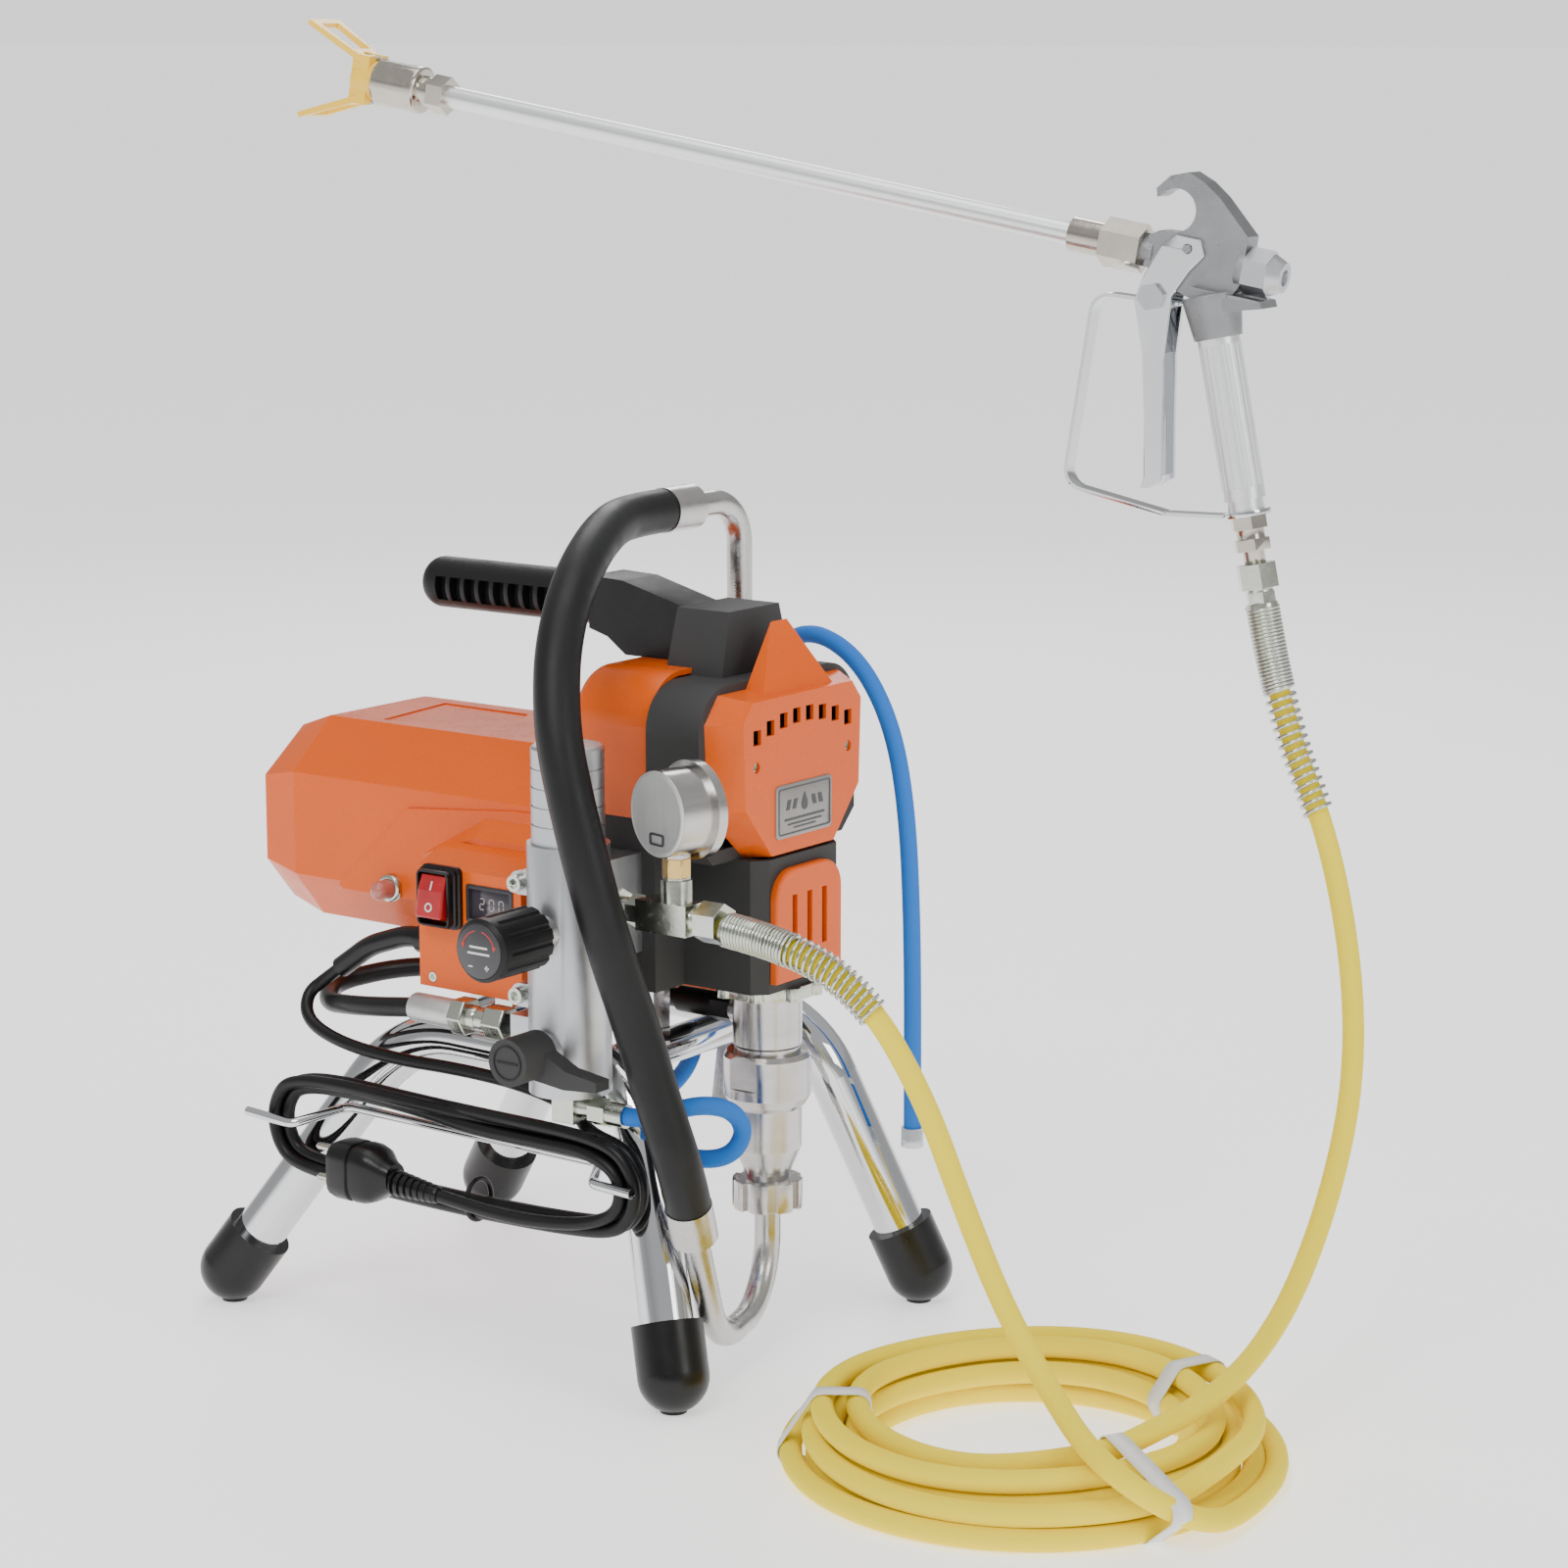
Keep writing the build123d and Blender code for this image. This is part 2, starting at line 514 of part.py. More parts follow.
def suction_u_tube():
    """Bent inlet tube and the ferrule crimped over its hose end."""
    path = [(s * U_PLANE[0], PUMP_Y + s * U_PLANE[1], z) for s, z in U_ROUTE]
    tube = swept(path, [44, 44], 8, 6.5)[0]
    end = Vector(*path[-1])
    along = (end - Vector(*path[-2])).normalized()
    ferrule = pipe(tuple(end - along * 24), tuple(end), 14, 8)
    return Compound([tube, ferrule])


def pickup_tube():
    """Ferrule, elbow and straight pickup tube down the far side."""
    path = [(44, -47, 503), (PICKUP_X, -47, 503), (PICKUP_X, -47, 151)]
    tube = swept(path, [28], 8, 6.5)[0]
    ferrule = rod((32, -47, 503), (60, -47, 503), 14) - rod((44, -47, 503), (61, -47, 503), 8)
    return Compound([tube, ferrule])


def inlet_strainer():
    cup = Pos(PICKUP_X, -47, 132) * Cone(19, 15, 38)
    cup -= Pos(PICKUP_X, -47, 130) * Cone(17.5, 13.5, 38)
    return cup + pipe((PICKUP_X, -47, 148), (PICKUP_X, -47, 154), 15, 8)


def pressure_hose():
    """Short hose from the pump outlet to the manifold, with a fitting and ferrule at each end."""
    hose = cord("pressure_hose", WHIP_ROUTE, WHIP_R)
    pump_end = hexagon((0, -126, 209), (0, -112, 209), 17) + rod((0, -112, 209), (0, -84, 209), 8)
    x, start, z = WHIP_ROUTE[-1]
    other = rod((x, start, z), (x, start - 30, z), 8) + hexagon((x, start - 30, z), (x, start - 40, z), 17)
    other += rod((x, start - 40, z), (x, WHIP_END_Y, z), 6) + hexagon((x, start - 56, z), (x, start - 70, z), 15)
    return Compound([hose, pump_end, other])


# ---------------------------------------------------------------- manifold

def manifold_body():
    """Cast filter manifold with its mounting pad, cover lugs and the two valve stems."""
    x, y = MANIFOLD_X, MANIFOLD_Y
    body = rod((x, y, MANIFOLD_BOTTOM), (x, y, MANIFOLD_TOP), MANIFOLD_R)
    body += block(x, -70, y - 8, y + 18, 255, 315)
    for z in LUG_Z:
        body += rod((x - 14, LUG_Y, z), (x + 10, LUG_Y, z), 7) + block(x - 14, x + 10, y, LUG_Y, z - 7, z + 7)
    body += block(x - 10, x + 10, y, WHIP_END_Y, 204, 224)
    body += rod((x - 20, y, KNOB_Z), (x - 55, y, KNOB_Z), 6) + rod((x - 20, y, KNOB_Z), (x - 33, y, KNOB_Z), 11)
    body += rod((x - 20, y, PRIME_Z), (x - 47, y, PRIME_Z), 5) + rod((x - 20, y, PRIME_Z), (x - 28, y, PRIME_Z), 12)
    body -= rod((x, y, BORE_FLOOR), (x, y, MANIFOLD_TOP + 1), 17)
    for z in LUG_Z:
        body -= rod((x - 20, LUG_Y, z), (x + 5, LUG_Y, z), 3)
    return body


def filter_cap():
    x, y = MANIFOLD_X, MANIFOLD_Y
    cap = rod((x, y, MANIFOLD_TOP), (x, y, CAP_TOP), 21.5) + rod((x, y, MANIFOLD_TOP - 15), (x, y, MANIFOLD_TOP), 17)
    cap = chamfer(cap.faces().sort_by(Axis.Z)[-1].edges(), 1.5)
    for k in range(4):
        z = MANIFOLD_TOP + 11 + 11 * k
        cap -= pipe((x, y, z), (x, y, z + 1.2), 23, 20.7)
    return cap - rod((x, y, MANIFOLD_TOP - 16), (x, y, MANIFOLD_TOP - 7), 13)


def filter_element():
    x, y = MANIFOLD_X, MANIFOLD_Y
    element = pipe((x, y, BORE_FLOOR), (x, y, MANIFOLD_TOP - 15), 12.5, 10)
    for k in range(7):
        z = BORE_FLOOR + 12 + 14 * k
        element += pipe((x, y, z), (x, y, z + 2), 14, 10)
    return element


def pressure_knob():
    x, y = MANIFOLD_X - 36, MANIFOLD_Y
    knob = rod((x - 44, y, KNOB_Z), (x, y, KNOB_Z), 18.5)
    knob = chamfer(knob.faces().sort_by(Axis.X)[0].edges(), 2)
    for k in range(12):
        a = radians(30 * k)
        groove = rod((x - 37, 19.6 * cos(a), 19.6 * sin(a)), (x + 1, 19.6 * cos(a), 19.6 * sin(a)), 2.2)
        knob -= Pos(0, y, KNOB_Z) * groove
    return knob - rod((x - 24, y, KNOB_Z), (x + 1, y, KNOB_Z), 6 + RUN_GAP)


def prime_handle():
    x, y = MANIFOLD_X - 29, MANIFOLD_Y
    handle = rod((x - 28, y, PRIME_Z), (x, y, PRIME_Z), 14)
    lever = polygon(facing_near(x), [(-y, PRIME_Z + 10), (-y + 30, PRIME_Z - 4), (-y + 52, PRIME_Z - 7),
                                        (-y + 52, PRIME_Z - 13), (-y + 28, PRIME_Z - 15), (-y, PRIME_Z - 12)])
    handle += extrude(lever, 12)
    return handle - rod((x - 20, y, PRIME_Z), (x + 1, y, PRIME_Z), 5 + RUN_GAP)


def drain_elbow():
    x, y = MANIFOLD_X, MANIFOLD_Y
    z = DRAIN_Z
    elbow = block(x - 8, x + 8, y - 8, y + 8, z - 9, MANIFOLD_BOTTOM)
    elbow += rod((x, y, z), (x, y - 20, z), 6) + hexagon((x, y - 18, z), (x, y - 30, z), 15)
    return elbow + rod((x, y - 30, z), (x, y - 42, z), 7)


def outlet_tee():
    x, z = MANIFOLD_X, OUTLET_Z
    y = GAUGE_Y
    tee = hexagon((x, y + 57, z), (x, y + 39, z), 20) + rod((x, y + 39, z), (x, y + 31, z), 7)
    tee += hexagon((x, y + 31, z), (x, y + 23, z), 17) + block(x - 9, x + 9, y - 13, y + 23, z - 9, z + 9)
    tee += rod((x, y, z), (x, y, z + 22), 9) + rod((x, y - 13, z), (x, y - 19, z), 7)
    return tee - rod((x, MANIFOLD_Y, z - 30), (x, MANIFOLD_Y, z + 30), MANIFOLD_R)


def gauge_place(depth):
    """Point on the gauge's own axis, depth millimetres towards the dial from the case middle."""
    a = radians(GAUGE_TURN)
    return (MANIFOLD_X + depth * cos(a), GAUGE_Y + depth * sin(a), GAUGE_Z)


def gauge_case():
    """Cup with a rolled bezel, open over the dial, on a brass adaptor."""
    case = rod(gauge_place(-13), gauge_place(12), 25)
    case += rod(gauge_place(9), gauge_place(15), 28.5)
    case -= rod(gauge_place(6), gauge_place(16), 23.5)
    case += rod(gauge_place(5), gauge_place(8.5), 1.5)
    stem = hexagon((MANIFOLD_X, GAUGE_Y, OUTLET_Z + 22), (MANIFOLD_X, GAUGE_Y, GAUGE_Z - 24), 14)
    return case + (stem - rod(gauge_place(-12), gauge_place(11), 24.5))


def gauge_needle():
    a = radians(GAUGE_TURN)
    plane = Plane(origin=gauge_place(7), x_dir=(-sin(a), cos(a), 0), z_dir=(cos(a), sin(a), 0))
    outline = make_face(Polyline((-1.6, 7), (1.6, 7), (0.5, -19), (-0.5, -19), close=True).edges())
    hand = extrude(plane * Rot(0, 0, -45) * outline, 1)
    hand += extrude(plane * Circle(3), 1)
    return hand - rod(gauge_place(4), gauge_place(9), 1.5 + RUN_GAP)


# ---------------------------------------------------------------- controls

def control_box():
    """Open-backed box on the motor cover's bulge, with a switch hole and a display window."""
    side = [(BOX_BACK_X, 222), (BOX_FRONT_X, 226), (BOX_FRONT_X, 300), (-100, 308), (BOX_BACK_X, 310)]
    outer = extrude(polygon(facing_front(BOX_Y1), side), BOX_Y1 - BOX_Y0)
    inner_side = [(BOX_BACK_X + 1, 225), (BOX_FRONT_X + WALL, 229), (BOX_FRONT_X + WALL, 298), (-100, 305),
                  (BOX_BACK_X + 1, 307)]
    box = outer - extrude(polygon(facing_front(BOX_Y1 - WALL), inner_side), BOX_Y1 - BOX_Y0 - 2 * WALL)
    box -= block(-122, -100, ROCKER_Y - 11.5, ROCKER_Y + 11.5, ROCKER_Z - 15, ROCKER_Z + 15)
    box -= block(-121, -116, -50, -18, 272, 291)
    box -= rod((-122, 12, 232), (-100, 12, 232), 3.4)
    return box - rod((-104, 30, 250), (-104, 15, 250), 7)


def power_rocker():
    """Rocker cap with two faces, resting with its lower end pressed."""
    cap = block(-11, 3, -10, 10, -13, 13)
    cap -= Pos(-11, 0, 13) * Rot(0, 12, 0) * Box(4, 30, 26)
    return Pos(-122, ROCKER_Y, ROCKER_Z) * Rot(0, ROCKER_TILT, 0) * cap


def reset_button():
    return rod((-93, *RESET_AT), (-82.5, *RESET_AT), RESET_R) + Pos(-93, *RESET_AT) * Sphere(RESET_R)


def strain_relief():
    path = [(-104, 22, 250), (-104, 46, 250), (-105, 75, 240), (-106, 99, 223)]
    boot, _ = swept(path, [50, 60], 6.5, CORD_R)
    return boot + pipe((-104, 22, 250), (-104, 34, 250), 9, CORD_R)


def cord_hank():
    """Outer form of the hanked cord, an upright race-track ring hung on the hooks."""
    (y0, y1), (z0, z1) = HANK_Y, HANK_Z
    plane = facing_side(HANK_X)
    outer = plane * (Pos((y0 + y1) / 2, (z0 + z1) / 2) * SlotOverall(y1 - y0, z1 - z0))
    inner = plane * (Pos((y0 + y1) / 2, (z0 + z1) / 2) * SlotOverall(y1 - y0 - 2 * HANK_BAND, z1 - z0 - 2 * HANK_BAND))
    return extrude(outer - inner, HANK_THICK)


def power_plug():
    body = block(-174, -144, 16, 54, 98, 134)
    body = chamfer(body.edges().filter_by(Axis.X), 5)
    body += rod((-159, 16, 114), (-155, -20, 110), 7)
    for z in (107, 126):
        body += rod((-159, 54, z), (-159, 73, z), 2.4)
    return body


# ---------------------------------------------------------------- paint hose ends

def gun_plane():
    return Plane(origin=GUN_AT, x_dir=GUN_FORWARD, z_dir=GUN_UP)


def placed(shape):
    """Moves a shape from the gun's own frame to the model's."""
    return gun_plane().location * shape


def along_grip(distance):
    """Point on the grip's axis, measured down from the grip's top."""
    (x0, z0), (x1, z1) = GRIP_TOP, GRIP_BOTTOM
    ux, _, uz = unit((x1 - x0, 0, z1 - z0))
    return (x0 + ux * distance, 0, z0 + uz * distance)


def rise_route():
    """Route of the hose up to the gun: it leaves the fitting along the grip's own axis."""
    ends = [tuple(gun_plane().from_local_coords(Vector(*along_grip(d)))) for d in (161, 226)]
    return ends + RISE_TAIL


def hose_fittings():
    """Swivel nut, hexagon and close-wound spring sleeve at each end of the paint hose."""
    x, y, z = MANIFOLD_X, GAUGE_Y - 19, OUTLET_Z
    machine = hexagon((x, y, z), (x, y - 15, z), 21)
    start, towards = Vector(*LEAD_ROUTE[0]), Vector(*LEAD_ROUTE[1])
    along = (towards - start).normalized()
    sleeve = pipe(tuple(start), tuple(start + along * 22), 9.5, PAINT_HOSE_R + 0.1)
    gun = hexagon(along_grip(136), along_grip(151), 22) + rod(along_grip(151), along_grip(153), 8)
    gun += hexagon(along_grip(153), along_grip(160), 16)
    gun_sleeve = pipe(along_grip(160), along_grip(192), 9.5, PAINT_HOSE_R + 0.1)
    return Compound([machine, sleeve, placed(gun), placed(gun_sleeve)])


def paint_hose():
    return Compound([cord("paint_hose lead", LEAD_ROUTE, PAINT_HOSE_R), cord("paint_hose rise", rise_route(), PAINT_HOSE_R)])


def paint_hose_coil():
    x, y = COIL_AT
    ring = pipe((x, y, 0), (x, y, COIL_H), COIL_OUTER_R, COIL_INNER_R)
    return fillet(ring.edges().filter_by(GeomType.CIRCLE), 6)


# ---------------------------------------------------------------- gun

GUN_OUTLINE = [(-26, -9), (-26, 10), (-32, 14), (-40, 14.6), (-40, 40.4), (-31, 36), (-27, 33), (-25.5, 38),
               (-33, 47), (-44, 51), (-55, 47), (-66, 40), (-88, 21), (-89, -6), (-84, -16), (-60, -22), (-46, -18),
               (-40, -9)]


def side_profile(points, width):
    """Flat piece of the gun, extruded evenly to both sides of its middle plane."""
    plane = Plane(origin=(0, width / 2, 0), x_dir=(1, 0, 0), z_dir=(0, -1, 0))
    return extrude(plane * make_face(Polyline(*points, close=True).edges()), width)


def gun_body():
    body = side_profile(GUN_OUTLINE, 17.4) - rod((-40, -12, 27.5), (-40, 12, 27.5), 12.9)
    body += rod((-30, 0, 0), (-22, 0, 0), 10) + rod((-89, 0, 1), (-84, 0, 1), 12)
    upward = Vector(*along_grip(-26)) - Vector(*along_grip(0))
    cone = Plane(origin=along_grip(0), z_dir=upward) * Pos(0, 0, 13) * Cone(14.5, 18, 26)
    body += cone + side_profile([(-60, -14), (-104, -14), (-106, -18), (-84, -24), (-60, -26)], 26)
    body += rod(along_grip(0), along_grip(100), 9)
    body += rod((TRIGGER_PIN[0], -13, TRIGGER_PIN[1]), (TRIGGER_PIN[0], 13, TRIGGER_PIN[1]), 2.5)
    return body - rod((-15, 0, 0), (-80, 0, 0), 3)


def gun_rear_nut():
    nut = hexagon((-104, 0, 1), (-89, 0, 1), 25) + Plane(origin=(-104, 0, 1), z_dir=(-1, 0, 0)) * (
        Pos(0, 0, 4) * Cone(12.5, 9, 8))
    return nut - rod((-113, 0, 1), (-100, 0, 1), 5)


TRIGGER_OUTLINE = [(-44, 14), (-60, 14), (-64, 5), (-56, -6), (-48, -22), (-50, -60), (-57, -100), (-63, -132),
                   (-56, -138), (-50, -139), (-51, -132), (-45, -100), (-36, -60), (-25, -30), (-28, -14), (-36, 6)]


def trigger():
    """Channel-shaped lever that straddles the gun body."""
    lever = side_profile(TRIGGER_OUTLINE, 22.4)
    lever -= side_profile([(-70, 20), (-10, 20), (-10, -37), (-70, -37)], 18.2)
    lever -= side_profile([(x - 5, z) for x, z in TRIGGER_OUTLINE], 18.2)
    return lever - rod((TRIGGER_PIN[0], -20, TRIGGER_PIN[1]), (TRIGGER_PIN[0], 20, TRIGGER_PIN[1]), 2.5 + RUN_GAP)


def trigger_lock():
    """Small catch that turns on the near cheek of the trigger."""
    tab = Plane(origin=(-36, 11.4, -25), x_dir=(1, 0, 0), z_dir=(0, 1, 0)) * Rot(0, 0, 20) * extrude(
        RegularPolygon(8.5, 6), 4)
    return tab


def trigger_guard():
    """Flat strip bowed in front of the trigger, from the body to the foot of the grip."""
    path = FilletPolyline((-51, 0, -27), (4, 0, -31), (2, 0, -149), (-66, 0, -152), (-104, 0, -145),
                          radius=[12, 12, 12])
    start = Plane(origin=path @ 0, x_dir=(0, 1, 0), z_dir=path % 0)
    strip = sweep(start * Rectangle(12, 2.2), path=path)
    ring = rod(along_grip(104), along_grip(107), 14.5) - rod(along_grip(103), along_grip(108), 9)
    return strip + ring


def gun_grip():
    grip = rod(along_grip(0), along_grip(97), GRIP_R) + rod(along_grip(97), along_grip(104), 11)
    axis_plane = Plane(origin=along_grip(4), z_dir=Vector(*along_grip(10)) - Vector(*along_grip(4)))
    for k in range(24):
        a = 2 * pi * k / 24
        flute = Pos(GRIP_R * cos(a), GRIP_R * sin(a), 0) * Cylinder(0.9, 86, align=(Align.CENTER, Align.CENTER, Align.MIN))
        grip -= axis_plane * flute
    return grip - rod(along_grip(-1), along_grip(105), 9)


def gun_swivel():
    swivel = hexagon(along_grip(107), along_grip(115), 20) + rod(along_grip(115), along_grip(121), 8.5)
    swivel += hexagon(along_grip(121), along_grip(128), 20) + rod(along_grip(128), along_grip(135.9), 6.5)
    return swivel


def extension_pole():
    return pipe((-4, 0, 0), (POLE_END, 0, 0), POLE_R, 4.5)


def pole_fittings():
    """Sleeve and swivel hexagon at the gun, hexagon and knurled retaining nut at the tip."""
    rear = hexagon((-22, 0, 0), (4, 0, 0), 26) + rod((4, 0, 0), (26, 0, 0), 10.5)
    rear -= rod((-4, 0, 0), (30, 0, 0), POLE_R)
    rear -= rod((-23, 0, 0), (0, 0, 0), 6)
    front = hexagon((478, 0, 0), (490, 0, 0), 22) - rod((470, 0, 0), (500, 0, 0), POLE_R)
    front += rod((490, 0, 0), (498, 0, 0), 10) - rod((489, 0, 0), (499, 0, 0), 4)
    nut = rod((498, 0, 0), (532, 0, 0), 15.5)
    nut = chamfer(nut.edges().filter_by(GeomType.CIRCLE), 1.2)
    for k in range(6):
        a = radians(60 * k + 30)
        flat = Plane(origin=(503, 15.5 * cos(a), 15.5 * sin(a)), x_dir=(1, 0, 0), z_dir=(0, cos(a), sin(a)))
        nut -= flat * (Pos(14, 0, 0.2) * Box(28, 12, 2.4))
    return Compound([rear, front + nut - rod((489, 0, 0), (533, 0, 0), 4)])


def tip_guard():
    """Guard that turns on the retaining nut: a hub and two splayed loops."""
    guard = rod((532.2, 0, 0), (548, 0, 0), 13) - rod((532, 0, 0), (549, 0, 0), 4)
    guard += block(536, 549, -11, 11, -16, 16)
    for side in (-1, 1):
        wing = loft([Pos(0, 0, 0) * Rectangle(4.5, 22), Pos(0, 0, 46) * Rectangle(3.5, 34)])
        wing -= Pos(0, 0, 26) * Box(10, 20, 30)
        guard += Pos(541, 0, side * 12) * Rot(0, 90 - side * 24, 0) * wing
    guard -= rod((541, 0, -30), (541, 0, 30), 6 + RUN_GAP)
    return guard


def spray_tip():
    """Reversible tip: a cross barrel with a flat turning handle."""
    barrel = rod((541, 0, -15.5), (541, 0, 15.5), 6)
    return barrel - rod((530, 0, 0), (560, 0, 0), 1.2)


NODES = {
    "stand_tubes": lambda: Compound([side_tube(-1), side_tube(1)]),
    "cross_rails": cross_rails, "rubber_feet": rubber_feet, "cord_hook": cord_hook,
    "motor_cover": motor_cover, "motor_stator": motor_stator, "motor_rotor": motor_rotor,
    "bearings": bearings, "gear_housing": gear_housing, "drive_frame": drive_frame,
    "reduction_gear": reduction_gear, "crankshaft": crankshaft, "connecting_rod": connecting_rod,
    "front_cover": front_cover, "lower_housing": lower_housing, "lower_door": lower_door,
    "carry_handle": carry_handle, "fasteners": fasteners, "piston_rod": piston_rod,
    "pump_internals": pump_internals, "clamp_ring": clamp_ring, "pump_cylinder": pump_cylinder,
    "foot_valve_housing": foot_valve_housing, "inlet_nut": inlet_nut, "suction_u_tube": suction_u_tube,
    "suction_hose": lambda: cord("suction_hose", SUCTION_ROUTE, SUCTION_R),
    "pickup_tube": pickup_tube, "inlet_strainer": inlet_strainer, "pressure_hose": pressure_hose,
    "manifold_body": manifold_body, "filter_cap": filter_cap, "filter_element": filter_element,
    "pressure_knob": pressure_knob, "prime_handle": prime_handle, "drain_elbow": drain_elbow,
    "drain_tube": lambda: cord("drain_tube", DRAIN_ROUTE, DRAIN_R),
    "outlet_tee": outlet_tee, "gauge_case": gauge_case, "gauge_needle": gauge_needle,
    "hose_fittings": hose_fittings, "paint_hose": paint_hose, "paint_hose_coil": paint_hose_coil,
    "control_box": control_box, "power_rocker": power_rocker, "reset_button": reset_button,
    "strain_relief": strain_relief, "power_cord": lambda: cord("power_cord", LEAD_CORD_ROUTE, CORD_R),
    "cord_hank": cord_hank, "power_plug": power_plug,
    "gun_body": lambda: placed(gun_body()), "gun_rear_nut": lambda: placed(gun_rear_nut()),
    "trigger": lambda: placed(trigger()), "trigger_lock": lambda: placed(trigger_lock()),
    "trigger_guard": lambda: placed(trigger_guard()), "gun_grip": lambda: placed(gun_grip()),
    "gun_swivel": lambda: placed(gun_swivel()), "extension_pole": lambda: placed(extension_pole()),
    "pole_fittings": lambda: placed(pole_fittings()), "tip_guard": lambda: placed(tip_guard()),
    "spray_tip": lambda: placed(spray_tip()),
}

os.makedirs("parts", exist_ok=True)
for node, make in NODES.items():
    export_step(Pos(*ORIGIN_SHIFT) * make(), f"parts/{node}.step")
print(len(NODES), "nodes")
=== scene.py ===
import math

import bmesh
import bpy
from mathutils import Matrix, Vector


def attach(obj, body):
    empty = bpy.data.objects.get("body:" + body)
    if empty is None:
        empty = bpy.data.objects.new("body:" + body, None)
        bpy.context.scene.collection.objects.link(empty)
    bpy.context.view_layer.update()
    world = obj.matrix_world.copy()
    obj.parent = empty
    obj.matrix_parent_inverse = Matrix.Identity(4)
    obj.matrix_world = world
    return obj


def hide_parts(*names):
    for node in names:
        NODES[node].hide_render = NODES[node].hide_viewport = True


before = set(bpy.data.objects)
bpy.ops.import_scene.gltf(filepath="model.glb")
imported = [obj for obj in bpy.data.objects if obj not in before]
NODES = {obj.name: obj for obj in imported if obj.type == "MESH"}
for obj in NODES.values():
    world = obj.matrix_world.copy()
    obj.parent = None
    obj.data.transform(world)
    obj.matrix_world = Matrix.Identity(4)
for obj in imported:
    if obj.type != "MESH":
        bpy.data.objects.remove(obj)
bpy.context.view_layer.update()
SHIFT = (-2.4, 39.6, 0.0)


def at(x, y, z):
    """Point given in the sprayer's own millimetres, about the middle of its stand, as row metres."""
    return Vector((x + SHIFT[0], y + SHIFT[1], z + SHIFT[2])) / 1000


def mm(value):
    return value / 1000


# ---------------------------------------------------------------- camera and studio

LENS, SENSOR, FAR_CLIP = 90, 36, 600
CAMERA_AT = (-1845.8, -1510.6, 787.9)
CAMERA_RIGHT, CAMERA_UP = (0.58997, -0.80742, 0), (0.15155, 0.11074, 0.98223)
# Brightness of the surroundings, from straight down (0) through the horizon (0.5) to straight up (1).
SKY = [(0.0, 0.34), (0.46, 0.34), (0.495, 1.0), (0.512, 1.0), (0.54, 0.4), (0.62, 0.3), (0.7, 0.42), (1.0, 0.42)]
SKY_STRENGTH = 1.3
# Soft boxes: name, place, target, size and power.
LAMPS = [
    ("key", (-2.6, -0.6, 2.8), (0, 0, 0.3), (1.5, 1.1), 52),
    ("fill", (-0.4, -3.2, 1.6), (0, -0.2, 0.3), (1.3, 1.3), 22),
    ("rim", (2.4, 1.8, 2.2), (0, 0, 0.4), (1.2, 1.2), 28),
    ("top", (0, 0, 3.2), (0, 0, 0), (2.2, 2.2), 34),
]
FLOOR_HALF = 240.0
FLOOR_GLOW = 0.85


def camera():
    """Long lens on the control side, a little above the machine, looking down."""
    data = bpy.data.cameras.new("camera")
    data.lens, data.sensor_width, data.clip_end = LENS, SENSOR, FAR_CLIP
    cam = bpy.data.objects.new("camera", data)
    bpy.context.collection.objects.link(cam)
    right, up = Vector(CAMERA_RIGHT), Vector(CAMERA_UP)
    turn = Matrix((right, up, right.cross(up))).transposed().to_4x4()
    cam.matrix_world = Matrix.Translation(at(*CAMERA_AT)) @ turn
    bpy.context.scene.camera = cam


def area_light(name, place, target, size, power):
    data = bpy.data.lights.new(name, "AREA")
    data.shape, data.size, data.size_y, data.energy = "RECTANGLE", size[0], size[1], power
    lamp = bpy.data.objects.new(name, data)
    bpy.context.collection.objects.link(lamp)
    lamp.location = place
    lamp.rotation_euler = (Vector(target) - Vector(place)).to_track_quat("-Z", "Y").to_euler()


def studio():
    """Pale floor, soft boxes, and surroundings that are bright only at the horizon, for the chrome to show."""
    world = bpy.data.worlds.new("studio")
    bpy.context.scene.world = world
    world.use_nodes = True
    nodes, links = world.node_tree.nodes, world.node_tree.links
    background = nodes["Background"]
    coords = nodes.new("ShaderNodeTexCoord")
    split = nodes.new("ShaderNodeSeparateXYZ")
    ramp = nodes.new("ShaderNodeValToRGB")
    while len(ramp.color_ramp.elements) < len(SKY):
        ramp.color_ramp.elements.new(0.5)
    for element, (place, level) in zip(ramp.color_ramp.elements, SKY):
        element.position, element.color = place, (level, level, level, 1)
    remap = nodes.new("ShaderNodeMapRange")
    remap.inputs["From Min"].default_value = -1
    links.new(coords.outputs["Generated"], split.inputs[0])
    links.new(split.outputs["Z"], remap.inputs["Value"])
    links.new(remap.outputs[0], ramp.inputs[0])
    links.new(ramp.outputs[0], background.inputs["Color"])
    background.inputs["Strength"].default_value = SKY_STRENGTH
    for lamp in LAMPS:
        area_light(*lamp)
    mesh = bpy.data.meshes.new("floor")
    corners = [(x * FLOOR_HALF, y * FLOOR_HALF, 0) for x, y in ((-1, -1), (1, -1), (1, 1), (-1, 1))]
    mesh.from_pydata(corners, [], [(0, 1, 2, 3)])
    floor = bpy.data.objects.new("floor", mesh)
    bpy.context.collection.objects.link(floor)
    paper = surface("studio_floor", (0.96, 0.96, 0.96), (0.94, 0.94, 0.94), rough=(0.7, 0.8), grain=(40, 0.02))
    shader = paper.node_tree.nodes["Principled BSDF"]
    shader.inputs["Emission Color"].default_value = (1, 1, 1, 1)
    shader.inputs["Emission Strength"].default_value = FLOOR_GLOW
    mesh.materials.append(paper)


# ---------------------------------------------------------------- materials

